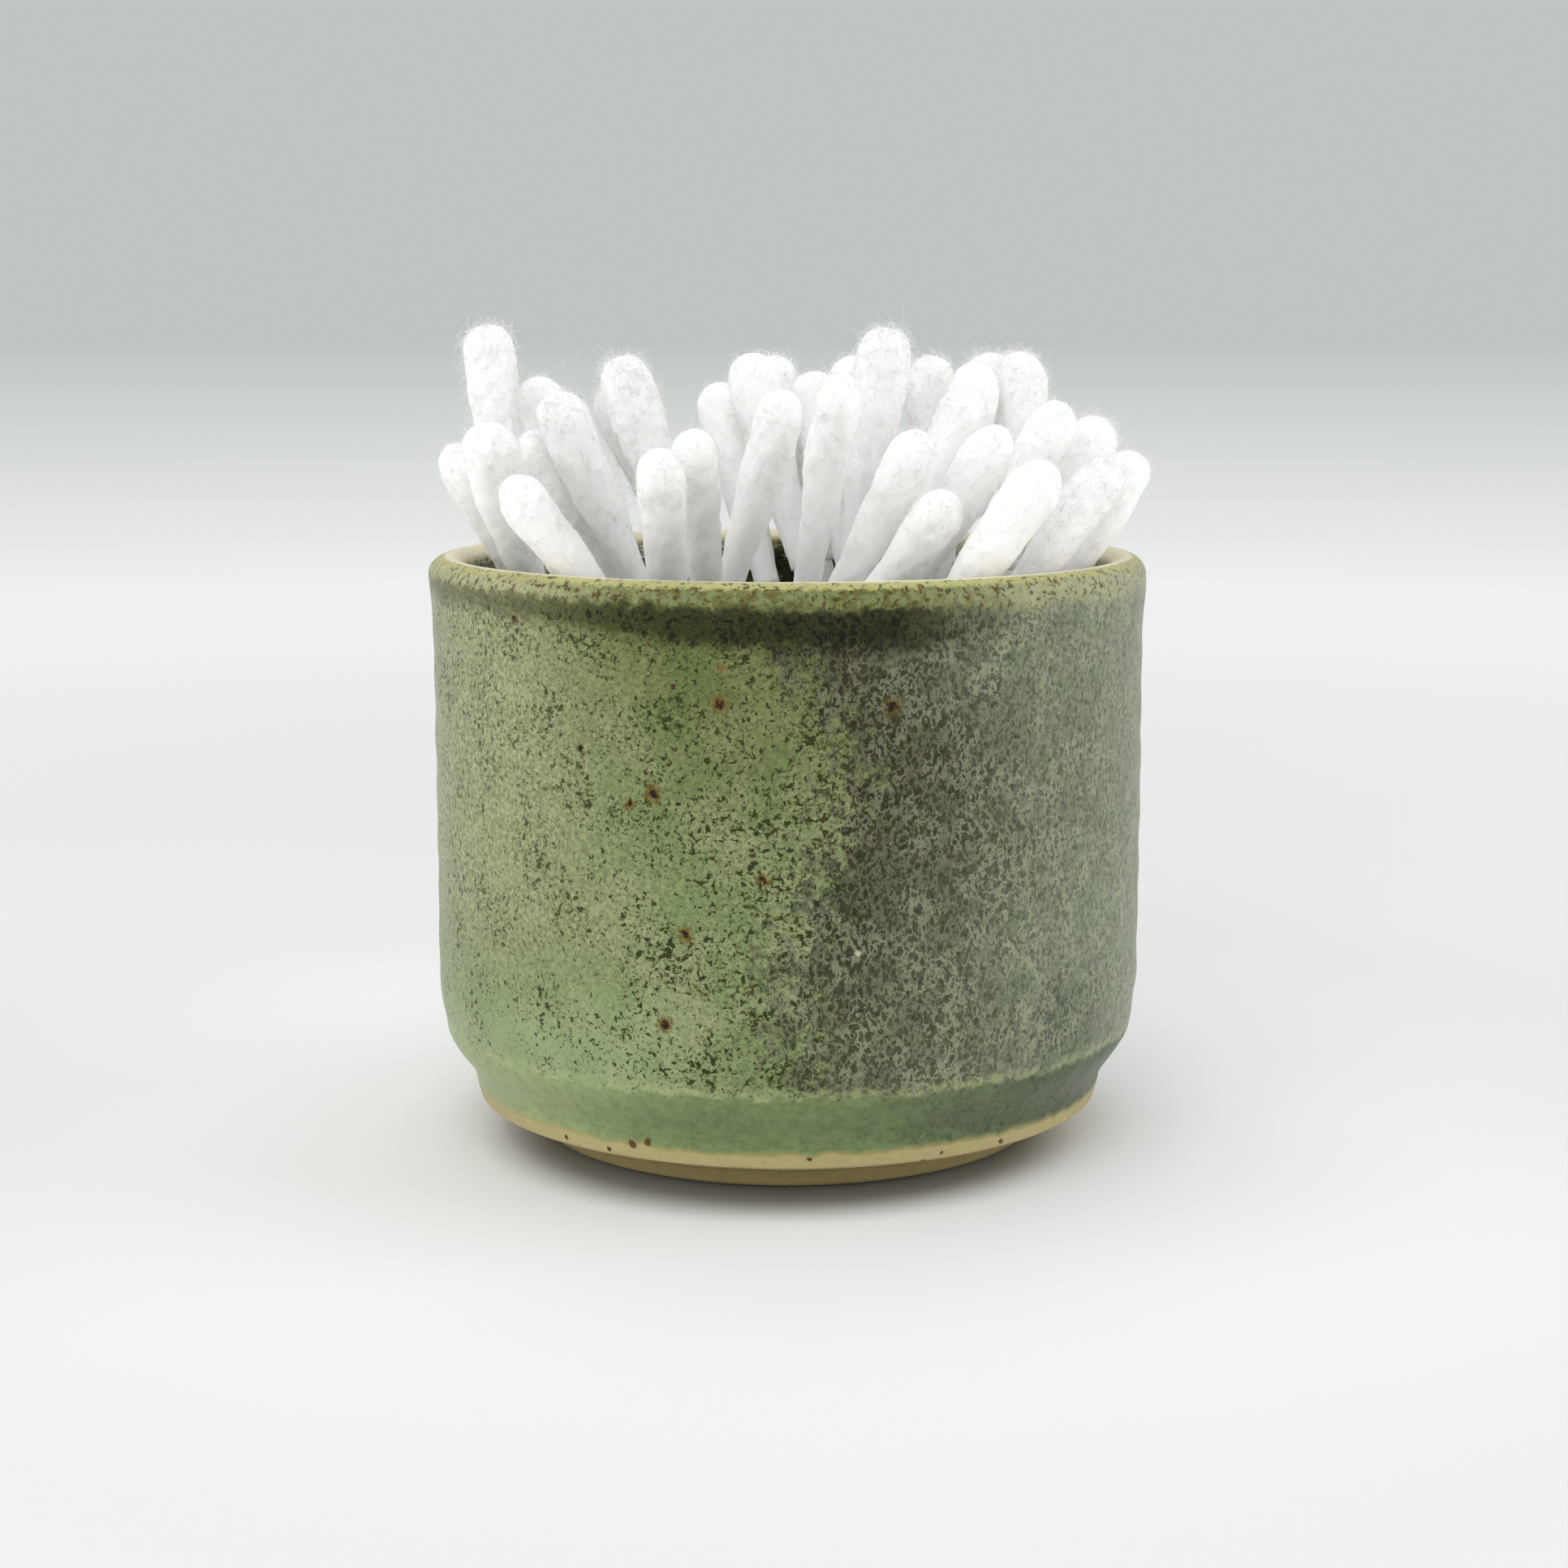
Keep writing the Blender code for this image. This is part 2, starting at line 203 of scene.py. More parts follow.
def turned_surface(rings: Array, first: Array, last: Array) -> MeshPart:
    """Close a stack of rings with a point at each end.

    A face joins columns j and j + 1 of rows i and i + 1, and the last column joins the first. An outline that
    runs outwards and up gives faces that point outwards.

    Args:
        rings: Points as (rows, columns, 3), each row going round against the clock seen from above.
        first: The point that closes the first ring.
        last: The point that closes the last ring.

    Returns:
        The closed surface, with the rings' points first.
    """
    rows, columns = rings.shape[:2]
    index = np.arange(rows * columns).reshape(rows, columns)
    beside = np.roll(index, -1, axis=1)
    start = np.full(columns, rows * columns)
    start_fan = np.stack([start, beside[0], index[0]], axis=-1)
    end_fan = np.stack([index[-1], beside[-1], start + 1], axis=-1)
    points = np.concatenate([rings.reshape(-1, 3), [first], [last]])
    return MeshPart(points, faces_between(index), np.concatenate([start_fan, end_fan]))


class Signal:
    """A value, vector or colour that a material works out at each point. Arithmetic on it adds nodes."""

    def __init__(self, graph: "Graph", socket: bpy.types.NodeSocket) -> None:
        """Keep the socket that gives the value, and the graph that it belongs to."""
        self.graph = graph
        self.socket = socket

    def __add__(self, other: Value) -> "Signal":
        """The sum of two values."""
        return self.graph.maths("ADD", self, other)

    def __sub__(self, other: Value) -> "Signal":
        """How far this value lies above another."""
        return self.graph.maths("SUBTRACT", self, other)

    def __mul__(self, other: Value) -> "Signal":
        """The product of two values."""
        return self.graph.maths("MULTIPLY", self, other)

    def most(self, other: Value) -> "Signal":
        """The greater of two values."""
        return self.graph.maths("MAXIMUM", self, other)

    def rise(self, low: Value, high: Value) -> "Signal":
        """An S-shaped rise from 0 where this value is low to 1 where it is high."""
        inputs = {"Value": self, "From Min": low, "From Max": high}
        return self.graph.signal("MapRange", inputs, interpolation_type="SMOOTHSTEP")

    def fall(self, low: Value, high: Value) -> "Signal":
        """An S-shaped fall from 1 where this value is low to 0 where it is high."""
        return self.graph.maths("SUBTRACT", 1.0, self.rise(low, high))

    def mix(self, low: Value, high: Value) -> "Signal":
        """A value between two others, with this one as the share of the way."""
        return self.graph.signal("Mix", {0: self, 2: low, 3: high}, data_type="FLOAT")

    def tint(self, low: Paint, high: Paint) -> "Signal":
        """A colour between two others, with this value as the share of the way."""
        return self.graph.signal("Mix", {0: self, 6: low, 7: high}, 2, data_type="RGBA")

    def scaled(self, scale: Place) -> "Signal":
        """This vector, stretched along each axis."""
        return self.graph.signal("Mapping", {"Vector": self, "Scale": scale})

    def distance_to(self, point: Place) -> "Signal":
        """The distance of this vector from a fixed point."""
        return self.graph.signal("VectorMath", {0: self, 1: point}, "Value", operation="DISTANCE")


@dataclass(frozen=True)
class Noise:
    """Fractal noise, as one layer of a finish uses it.

    Attributes:
        scale: Features per unit of the surface's coordinates.
        detail: How many finer layers are added.
        rough: How strong the finer layers are.
        low: The value that counts as 0 in patches.
        high: The value that counts as 1 in patches.
        swing: How far it goes from its least to its greatest value when it is centred.
        warp: How far it is distorted.
    """

    scale: float
    detail: float = 2.0
    rough: float = 0.5
    low: float = 0.0
    high: float = 1.0
    swing: float = 1.0
    warp: float = 0.0


class Graph:
    """A bench on which a material's nodes are made and wired. Its noises read one place, a scaled vector."""

    def __init__(self, name: str, per_metre: Place, attribute: str = "") -> None:
        """Start a material that reads object coordinates, or a point stored with the surface.

        Args:
            name: The material's name.
            per_metre: How the coordinates are scaled along each axis.
            attribute: The stored point's name, if that is to be read.
        """
        self.material = bpy.data.materials.new(name)
        self.material.use_nodes = True
        self.nodes = self.material.node_tree.nodes
        self.links = self.material.node_tree.links
        self.shader = self.nodes["Principled BSDF"]
        if attribute:
            source = self.signal("Attribute", {}, "Vector", attribute_name=attribute)
        else:
            source = self.signal("TexCoord", {}, "Object")
        self.place = source.scaled(per_metre)

    def put(self, target: bpy.types.NodeSocket, value: Union[Value, Paint]) -> None:
        """Wire a signal into a socket, or write a constant on it.

        Args:
            target: The socket.
            value: A signal, a number, a vector or a colour.
        """
        if isinstance(value, Signal):
            self.links.new(value.socket, target)
        elif isinstance(value, tuple) and len(value) == 3 and len(target.default_value) == 4:
            target.default_value = (*value, 1.0)
        else:
            target.default_value = value

    def node(self, kind: str, inputs: dict[str | int, Union[Value, Paint]], **options: str) -> bpy.types.Node:
        """Make a node, choose its options and fill its inputs.

        Args:
            kind: The node's type, without its first words.
            inputs: What goes into each input, by its name or number.
            options: The node's settings.

        Returns:
            The node.
        """
        node = self.nodes.new(f"ShaderNode{kind}")
        for option, choice in options.items():
            setattr(node, option, choice)
        for key, value in inputs.items():
            self.put(node.inputs[key], value)
        return node

    def signal(self, kind: str, inputs: dict, output: str | int = 0, **options: str) -> Signal:
        """Make a node, and give one of its outputs."""
        return Signal(self, self.node(kind, inputs, **options).outputs[output])

    def maths(self, operation: str, one: Value, two: Value = 0.0) -> Signal:
        """One step of arithmetic on two values."""
        return self.signal("Math", {0: one, 1: two}, operation=operation)

    def multiplied(self, base: Paint, tint: Paint, share: Value = 1.0) -> Signal:
        """A colour multiplied by a tint, at a share of full strength."""
        return self.signal("Mix", {0: share, 6: base, 7: tint}, 2, data_type="RGBA", blend_type="MULTIPLY")

    def shaded(self, base: Paint, pattern: Signal, shades: Shades, share: Value = 1.0) -> Signal:
        """A colour multiplied by one shade where a pattern is 0 and by another where it is 1."""
        return self.multiplied(base, pattern.tint(*shades), share)

    def noise(self, kind: Noise, place: Signal | None = None) -> Signal:
        """Fractal noise between 0 and 1, read at the surface's own place if no other is given."""
        inputs = {"Vector": place or self.place, "Scale": kind.scale, "Detail": kind.detail}
        return self.signal("TexNoise", {**inputs, "Roughness": kind.rough, "Distortion": kind.warp})

    def patches(self, kind: Noise, place: Signal | None = None) -> Signal:
        """Noise that is 0 under its low value and 1 over its high one."""
        return self.noise(kind, place).rise(kind.low, kind.high)

    def centred(self, kind: Noise, place: Signal | None = None) -> Signal:
        """Noise about zero, as wide as its swing."""
        return (self.noise(kind, place) - 0.5) * kind.swing

    def cells(self, scale: float) -> tuple[Signal, Signal]:
        """Scattered cells.

        Args:
            scale: Cells per unit of the surface's coordinates.

        Returns:
            The distance to the nearest cell's centre, and that cell's random value.
        """
        cells = self.node("TexVoronoi", {"Vector": self.place, "Scale": scale})
        chance = self.signal("SeparateColor", {0: Signal(self, cells.outputs["Color"])})
        return Signal(self, cells.outputs["Distance"]), chance

    def surface(self, values: dict[str, Union[Value, Paint]]) -> None:
        """Fill the shader's own sockets."""
        for name, value in values.items():
            self.put(self.shader.inputs[name], value)

    def relief(self, height: Signal, depth: float, strength: float) -> None:
        """Shade the surface as if it had a small relief.

        Args:
            height: The relief, 0 to 1.
            depth: What a height of 1 stands for, in metres.
            strength: How much of it shows.
        """
        inputs = {"Height": height, "Distance": depth, "Strength": strength}
        self.surface({"Normal": self.signal("Bump", inputs)})


class PotGraph(Graph):
    """The bench for the pot's finish, with its places in millimetres, to the right and up from the foot."""

    def __init__(self, name: str) -> None:
        """Start the material and split its places.

        Args:
            name: The material's name.
        """
        super().__init__(name, (1 / MM, 1 / MM, 1 / MM))
        parts = self.node("SeparateXYZ", {0: self.place}).outputs
        self.across = Signal(self, parts[0])
        self.height = Signal(self, parts[2])


class Part(Enum):
    """The pieces of one cotton swab."""

    STICK = "stick"
    LOWER_BUD = "lower_bud"
    UPPER_BUD = "upper_bud"


@dataclass(frozen=True)
class Spot:
    """A spot in the glaze: where it lies in millimetres, its core's radius and how strong its halo is."""

    place: Place
    core: float
    halo: float = 1.0


@dataclass(frozen=True)
class StonewareFinish:
    """Satin speckled glaze on the pot, and bare speckled clay on its foot.

    Heights and sizes are in millimetres. A pair is where a fade starts and ends, or a value at its two ends.
    """

    name: str = "speckled_stoneware"
    sage_green: Colour = from_srgb(119, 134, 90)
    sage_beige: Colour = from_srgb(150, 153, 118)
    sage_low: Colour = from_srgb(144, 162, 118)
    sage_fleck: Colour = from_srgb(42, 50, 12)
    brown_fleck: Colour = from_srgb(62, 52, 18)
    olive_dark: Colour = from_srgb(44, 50, 24)
    olive_umber: Colour = from_srgb(54, 48, 28)
    olive_grey: Colour = from_srgb(92, 96, 78)
    olive_low: Colour = from_srgb(78, 82, 50)
    olive_pale: Colour = from_srgb(116, 122, 106)
    strand: Colour = from_srgb(160, 164, 134)
    band: Colour = from_srgb(112, 130, 88)
    band_pale: Colour = from_srgb(142, 156, 110)
    band_blue: Colour = from_srgb(82, 92, 68)
    ridge_bead: Colour = from_srgb(160, 171, 120)
    rim_tan: Colour = from_srgb(172, 171, 113)
    rim_olive: Colour = from_srgb(100, 98, 48)
    rim_green: Colour = from_srgb(122, 132, 84)
    rim_pale: Colour = from_srgb(194, 194, 150)
    rim_brown: Colour = from_srgb(68, 52, 16)
    # Cream of the burst bubble, and of the lip's crest, where it is partly a painted highlight.
    cream_and_highlight: Colour = from_srgb(232, 224, 192)
    thin_glaze: Colour = from_srgb(160, 150, 96)
    clay: Colour = from_srgb(178, 167, 122)
    clay_fleck: Colour = from_srgb(92, 62, 30)
    rust: Colour = from_srgb(104, 84, 32)
    iron: Colour = from_srgb(32, 20, 6)
    gathered_tint: Colour = (0.16, 0.155, 0.045)
    near_olive_tint: Colour = (0.66, 0.65, 0.48)
    green_tint: Colour = (0.93, 1.04, 0.90)
    # Painted shade where the wall turns in above the ridge.
    painted_shade_tint: Colour = (0.62, 0.68, 0.66)
    # Painted shade on the foot where it turns under the bevel.
    painted_foot_shade: Colour = (0.86, 0.81, 0.70)
    sage_shades: Shades = ((0.60, 0.61, 0.51), (1.24, 1.24, 1.22))
    olive_shades: Shades = ((0.48, 0.48, 0.40), (1.20, 1.20, 1.19))
    band_shades: Shades = ((0.88, 0.88, 0.84), (1.10, 1.10, 1.10))
    clay_shades: Shades = ((0.82, 0.79, 0.72), (1.14, 1.14, 1.12))
    glaze_roughness: float = 0.44
    clay_roughness: float = 0.86
    glaze_shine: float = 0.16
    milky_edge: float = 0.15
    milky_roughness: float = 0.35
    relief_depth: float = 0.16 * MM
    relief_strength: float = 0.75
    pit_depth: float = -0.18
    glaze_line: float = 5.2
    line_softness: float = 0.12
    thin_width: float = 0.7
    thin_share: float = 0.8
    ridge_height: float = 11.6
    boundary: float = 4.6
    boundary_height: float = 38.0
    boundary_bend: float = 0.026
    boundary_reach: float = 5.0
    edge_width: Pair = (-2.0, 2.6)
    fleck_level: float = 0.604
    # Centre of the painted shade patch, in millimetres.
    painted_shade_place: Place = (26.5, -23.0, 15.0)
    gathered_left: Pair = (54.0, 56.1)
    gathered_middle: Pair = (51.6, 55.4)
    halo_reach: Pair = (0.9, 2.3)
    core_reach: Pair = (0.55, 1.05)
    bubble_reach: Pair = (0.6, 1.2)
    clay_spot_reach: Pair = (0.7, 1.25)
    edge_wander: Noise = Noise(0.7, 5.0, 0.74, swing=36.0)
    line_wander: Noise = Noise(0.5, 3.0)
    gloss_wander: Noise = Noise(0.9, 4.0, 0.6, swing=0.3)
    orange_peel: Noise = Noise(1.1, swing=0.6)
    clay_grain: Noise = Noise(5.0, 4.0, 0.7, swing=1.1)
    boundary_wander: Noise = Noise(0.10, 3.0, 0.55, swing=12.0)
    fleck_crowds: Noise = Noise(0.2, swing=0.26)
    blots: Noise = Noise(1.85, 3.0, 0.62, warp=0.4)
    specks: Noise = Noise(3.6, 2.0, 0.55, warp=0.2)
    beige_clouds: Noise = Noise(0.15, 3.0, 0.6, 0.40, 0.60)
    sage_mottle: Noise = Noise(2.3, 4.0, 0.68, 0.33, 0.67)
    brown_patches: Noise = Noise(0.5, low=0.54, high=0.64)
    umber_clouds: Noise = Noise(0.26, 3.0, 0.6, 0.46, 0.58)
    green_clouds: Noise = Noise(0.22, 3.0, 0.6, 0.50, 0.62)
    olive_mottle: Noise = Noise(2.1, 4.0, 0.68, 0.33, 0.67)
    folds: Noise = Noise(1.2, 3.0, 0.6)
    grains: Noise = Noise(1.8, 3.0, 0.6, 0.53, 0.595, warp=0.5)
    net_cover: Noise = Noise(0.3, 3.0, 0.6, 0.40, 0.62)
    blue_wander: Noise = Noise(0.25, 3.0, 0.6, swing=14.0)
    band_clouds: Noise = Noise(0.9, 4.0, 0.65, 0.35, 0.65)
    ridge_wander: Noise = Noise(0.5, 4.0, 0.6, swing=2.4)
    bead_breaks: Noise = Noise(0.7, 4.0, 0.65, 0.36, 0.58)
    rim_side_wander: Noise = Noise(0.12, swing=10.0)
    rim_wander: Noise = Noise(0.7, 5.0, 0.68, swing=2.6)
    rim_patches: Noise = Noise(1.1, 4.0, 0.7, 0.42, 0.58)
    rim_blots: Noise = Noise(1.7, 4.0, 0.7, 0.545, 0.59)
    lip_fray: Noise = Noise(1.5, 4.0, 0.7, swing=1.2)
    crest_wander: Noise = Noise(1.2, 3.0, 0.6, swing=0.5)
    spot_edge: Noise = Noise(2.3, 5.0, 0.75, swing=2.1)
    clay_speck_edge: Noise = Noise(3.0, 3.0, swing=0.3)
    clay_clouds: Noise = Noise(0.8, 4.0, 0.6)
    clay_spot_edge: Noise = Noise(2.2, 3.0, 0.6, swing=0.7)
    spots: tuple[Spot, ...] = (
        Spot((-6.0, -34.5, 47.0), 0.52, 0.85),
        Spot((-11.9, -32.9, 38.9), 0.52, 0.90),
        Spot((-14.1, -32.0, 37.8), 0.36, 0.90),
        Spot((-9.2, -33.8, 26.4), 0.44, 0.95),
        Spot((-11.0, -33.1, 18.0), 0.48, 0.90),
        Spot((9.1, -33.8, 46.7), 0.55, 0.50),
        Spot((-24.6, -24.8, 53.6), 0.36, 0.70),
        Spot((-18.6, -29.7, 42.4), 0.34, 0.55),
        Spot((-2.2, -34.9, 31.6), 0.34, 0.90),
    )
    bubble: Spot = Spot((6.1, -34.5, 24.8), 0.26, 0.5)
    clay_spots: tuple[Spot, ...] = (
        Spot((-20.8, -23.4, 4.6), 0.24),
        Spot((-14.4, -28.0, 5.3), 0.42),
        Spot((-12.9, -28.7, 5.7), 0.36),
        Spot((-16.6, -26.4, 4.4), 0.22),
        Spot((-10.6, -28.9, 2.6), 0.24),
        Spot((2.0, -31.2, 4.9), 0.20),
        Spot((4.6, -30.6, 3.7), 0.34),
        Spot((9.6, -29.0, 3.3), 0.20),
        Spot((12.4, -28.5, 3.8), 0.30),
        Spot((14.1, -27.9, 4.5), 0.20),
        Spot((19.9, -24.1, 4.4), 0.28),
    )

    def material(self) -> bpy.types.Material:
        """Wire the whole finish.

        Returns:
            The material.
        """
        pot = PotGraph(self.name)
        olive = self.olive_side(pot)
        fleck = self.flecks(pot)
        edge = (olive + pot.centred(self.edge_wander)).rise(*self.edge_width)
        colour = edge.tint(self.sage_glaze(pot, olive, fleck), self.olive_glaze(pot, olive))
        colour = self.lower_band(pot, colour, fleck)
        colour = self.rim(pot, colour)
        colour = self.iron_spots(pot, colour)
        line = pot.centred(self.line_wander) + self.glaze_line
        thin = pot.height.fall(line, line + self.thin_width) * self.thin_share
        glazed = pot.height.rise(line - self.line_softness, line + self.line_softness)
        colour = glazed.tint(self.bare_clay(pot), thin.tint(colour, self.thin_glaze))
        ragged = pot.centred(self.clay_spot_edge)
        foot_spots = self.cover(pot, self.clay_spots, ragged, self.clay_spot_reach, halo=False)
        glaze_roughness = pot.centred(self.gloss_wander) + self.glaze_roughness
        pot.surface(
            {
                "Base Color": foot_spots.tint(colour, self.clay_fleck),
                "Roughness": glazed.mix(self.clay_roughness, glaze_roughness),
                "Specular IOR Level": self.glaze_shine,
                "Sheen Weight": self.milky_edge,
                "Sheen Roughness": self.milky_roughness,
            }
        )
        glaze_relief = pot.centred(self.orange_peel) + fleck * self.pit_depth
        height = glazed.mix(pot.centred(self.clay_grain), glaze_relief)
        pot.relief(height, self.relief_depth, self.relief_strength)
        return pot.material

    @staticmethod
    def cover(pot: PotGraph, spots: tuple[Spot, ...], ragged: Signal, reach: Pair, halo: bool) -> Signal:
        """How much of each place some ragged round spots cover.

        Args:
            pot: The bench.
            spots: The spots.
            ragged: How many millimetres their edges go in and out.
            reach: Where a spot starts to fade and where it ends, as shares of its core's radius.
            halo: Whether the spots' own halo strength counts.

        Returns:
            The greatest cover of any spot.
        """
        covers = []
        for spot in spots:
            away = pot.place.distance_to(spot.place) + ragged
            here = away.fall(spot.core * reach[0], spot.core * reach[1])
            covers.append(here * spot.halo if halo else here)
        return reduce(Signal.most, covers)

    def olive_side(self, pot: PotGraph) -> Signal:
        """The bounds of the second, grey-olive dip of glaze, a bow that wanders.

        Args:
            pot: The bench.

        Returns:
            How many millimetres a place lies inside it.
        """
        from_middle = pot.height - self.boundary_height
        bow = pot.maths("MINIMUM", from_middle * from_middle * self.boundary_bend, self.boundary_reach)
        return pot.across - self.boundary + bow + pot.centred(self.boundary_wander)

    def flecks(self, pot: PotGraph) -> Signal:
        """The dark flecks of the green side: irregular blots, crowded in places, and finer specks.

        Args:
            pot: The bench.

        Returns:
            How much they cover.
        """
        closer = pot.across.rise(-24.0, 0.0) * -0.030
        clearer = pot.across.fall(-20.0, -6.0) * pot.height.fall(14.0, 30.0) * 0.022
        level = pot.centred(self.fleck_crowds) + closer + clearer + self.fleck_level
        blots = pot.noise(self.blots).rise(level - 0.012, level + 0.022)
        specks = pot.noise(self.specks).rise(level, level + 0.05) * 0.75
        return blots.most(specks)

    def sage_glaze(self, pot: PotGraph, olive: Signal, fleck: Signal) -> Signal:
        """The green side: sage to beige in soft clouds, mottled and flecked, darker near the olive side.

        Its upper left is paler and beiger, partly the glaze's own tone and partly painted light from the left.

        Args:
            pot: The bench.
            olive: How far a place lies inside the olive dip.
            fleck: The dark flecks' cover.

        Returns:
            Its colour.
        """
        # Upper left: paler and beiger, partly the glaze's own tone and partly painted light from the left.
        left_tone_and_light = pot.across.fall(-30.0, -9.0) * pot.height.rise(14.0, 30.0)
        beige = (pot.patches(self.beige_clouds) * 0.55).most(left_tone_and_light)
        colour = beige.tint(self.sage_green, self.sage_beige)
        colour = pot.shaded(colour, pot.patches(self.sage_mottle), self.sage_shades, left_tone_and_light.mix(0.72, 1.0))
        low = pot.height.fall(12.0, 25.0) * pot.across.fall(-18.0, -2.0) * 0.6
        near_olive = olive.rise(-28.0, -10.0) * pot.height.rise(28.0, 50.0)
        colour = pot.multiplied(low.tint(colour, self.sage_low), self.near_olive_tint, near_olive)
        dark = pot.patches(self.brown_patches).tint(self.sage_fleck, self.brown_fleck)
        return (fleck * left_tone_and_light.mix(1.0, 0.82)).tint(colour, dark)

    def olive_glaze(self, pot: PotGraph, olive: Signal) -> Signal:
        """The olive side: dark brown where the glazes overlap, then greyer, with a net of pale strands.

        A patch of painted shade darkens it where the wall turns in above the ridge.

        Args:
            pot: The bench.
            olive: How far a place lies inside the olive dip.

        Returns:
            Its colour.
        """
        lower = pot.height.fall(13.0, 34.0)
        further = olive.rise(1.0, 22.0)
        overlap = pot.patches(self.umber_clouds).tint(self.olive_dark, self.olive_umber)
        overlap = (lower * 0.55).tint(overlap, self.olive_low)
        colour = further.tint(overlap, self.olive_grey)
        colour = olive.rise(14.0, 31.0).tint(colour, self.olive_pale)
        colour = pot.multiplied(colour, self.green_tint, pot.patches(self.green_clouds) * further)
        # Painted shade where the wall turns in above the ridge.
        painted_shade_share = pot.place.distance_to(self.painted_shade_place).fall(2.5, 8.5)
        colour = pot.multiplied(colour, self.painted_shade_tint, painted_shade_share)
        colour = pot.shaded(colour, pot.patches(self.olive_mottle), self.olive_shades)
        stretched = pot.place.scaled((1.0, 1.0, 0.7))
        fold = pot.maths("ABSOLUTE", pot.centred(self.folds, stretched))
        net = fold.fall(0.006, 0.06).most(pot.patches(self.grains, stretched) * 0.8)
        cover = pot.patches(self.net_cover).mix(0.48, 0.95)
        strength = net * cover * further.most(lower).mix(0.46, 0.72)
        return strength.tint(colour, self.strand)

    def lower_band(self, pot: PotGraph, colour: Signal, fleck: Signal) -> Signal:
        """The smoother sea-green band under the ridge, bluer to the right, and the ridge's pale bead.

        Args:
            pot: The bench.
            colour: The glaze so far.
            fleck: The dark flecks' cover.

        Returns:
            The glaze with its band.
        """
        blue = (pot.across + pot.centred(self.blue_wander)).rise(2.0, 25.0)
        pale = pot.across.fall(-26.0, -8.0).tint(self.band, self.band_pale)
        smooth = blue.tint(pale, self.band_blue)
        smooth = pot.shaded(smooth, pot.patches(self.band_clouds), self.band_shades)
        smooth = (fleck * blue.mix(0.16, 0.60)).tint(smooth, self.sage_fleck)
        from_ridge = pot.height - self.ridge_height + pot.centred(self.ridge_wander)
        colour = from_ridge.fall(-0.7, 0.2).tint(colour, smooth)
        bead = from_ridge.rise(-0.5, 0.0) * from_ridge.fall(0.1, 1.1)
        bead = bead * pot.patches(self.bead_breaks) * blue.mix(0.62, 0.45)
        return bead.tint(colour, self.ridge_bead)

    def rim(self, pot: PotGraph, colour: Signal) -> Signal:
        """The lip: a dark band of gathered glaze, mottled green over it, tan glaze and a cream crest.

        The crest along the lip's inner edge is partly worn glaze and partly a painted highlight.

        The band is thin and high at the left and deep at the middle, and it fades out to the right.

        Args:
            pot: The bench.
            colour: The glaze so far.

        Returns:
            The glaze with its lip.
        """
        reach = pot.across.rise(-33.0, 0.0)
        side = pot.across + pot.centred(self.rim_side_wander)
        level = pot.height + pot.centred(self.rim_wander)
        low = reach.mix(self.gathered_left[0], self.gathered_middle[0])
        above = level - reach.mix(self.gathered_left[1], self.gathered_middle[1])
        gathered = (level - low).rise(-0.9, 1.2) * above.fall(-0.5, 0.4)
        gathered = gathered * reach.mix(0.62, 0.97) * side.fall(9.0, 21.0)
        ends = pot.maths("ABSOLUTE", side).rise(9.0, 28.0)
        mottled = pot.patches(self.rim_patches).tint(self.rim_green, self.rim_olive)
        mottled = (ends * 0.7).tint(mottled, self.rim_pale)
        over = above.rise(ends * -0.7 - 0.9, 0.5) * ends.mix(0.9, 0.6)
        colour = pot.multiplied(over.tint(colour, mottled), self.gathered_tint, gathered)
        frayed = pot.height + pot.centred(self.lip_fray)
        colour = frayed.rise(56.9, 57.2).tint(colour, self.rim_tan)
        blots = pot.patches(self.rim_blots) * above.rise(-0.9, 0.1) * 0.85
        colour = blots.tint(colour, self.rim_brown)
        radius = pot.place.scaled((1.0, 1.0, 0.0)).distance_to((0.0, 0.0, 0.0))
        inward = radius + pot.centred(self.crest_wander)
        # The cream crest on the lip's inner edge: partly worn glaze, partly a painted highlight.
        worn_and_highlight = inward.fall(33.5, 34.1) * pot.height.rise(56.2, 57.1) * 0.9
        return worn_and_highlight.tint(colour, self.cream_and_highlight)

    def iron_spots(self, pot: PotGraph, colour: Signal) -> Signal:
        """Rusty ragged halos with near-black cores, a few more scattered ones, and one burst bubble.

        Args:
            pot: The bench.
            colour: The glaze so far.

        Returns:
            The glaze with its spots.
        """
        ragged = pot.centred(self.spot_edge)
        near, chance = pot.cells(0.17)
        size = chance.mix(0.03, 0.07)
        loose = (near + ragged * 0.07).fall(size, size * 1.7) * chance.rise(0.955, 0.965) * 0.6
        halo = self.cover(pot, self.spots, ragged, self.halo_reach, halo=True)
        core = self.cover(pot, self.spots, ragged, self.core_reach, halo=False)
        colour = core.tint(halo.most(loose).tint(colour, self.rust), self.iron)
        burst = self.cover(pot, (self.bubble,), ragged * 0.7, self.bubble_reach, halo=True)
        return burst.tint(colour, self.cream_and_highlight)

    def bare_clay(self, pot: PotGraph) -> Signal:
        """Cream stoneware with small brown specks, and painted shade where the foot turns under.

        Args:
            pot: The bench.

        Returns:
            Its colour.
        """
        near, chance = pot.cells(0.5)
        size = chance.mix(0.04, 0.13)
        specks = (near + pot.centred(self.clay_speck_edge)).fall(size, size + 0.06)
        colour = pot.shaded(self.clay, pot.noise(self.clay_clouds), self.clay_shades)
        # Painted shade where the foot turns under the bevel.
        colour = pot.multiplied(colour, self.painted_foot_shade, pot.height.fall(3.6, 4.2))
        return (specks * chance.rise(0.74, 0.78) * 0.8).tint(colour, self.clay_fleck)


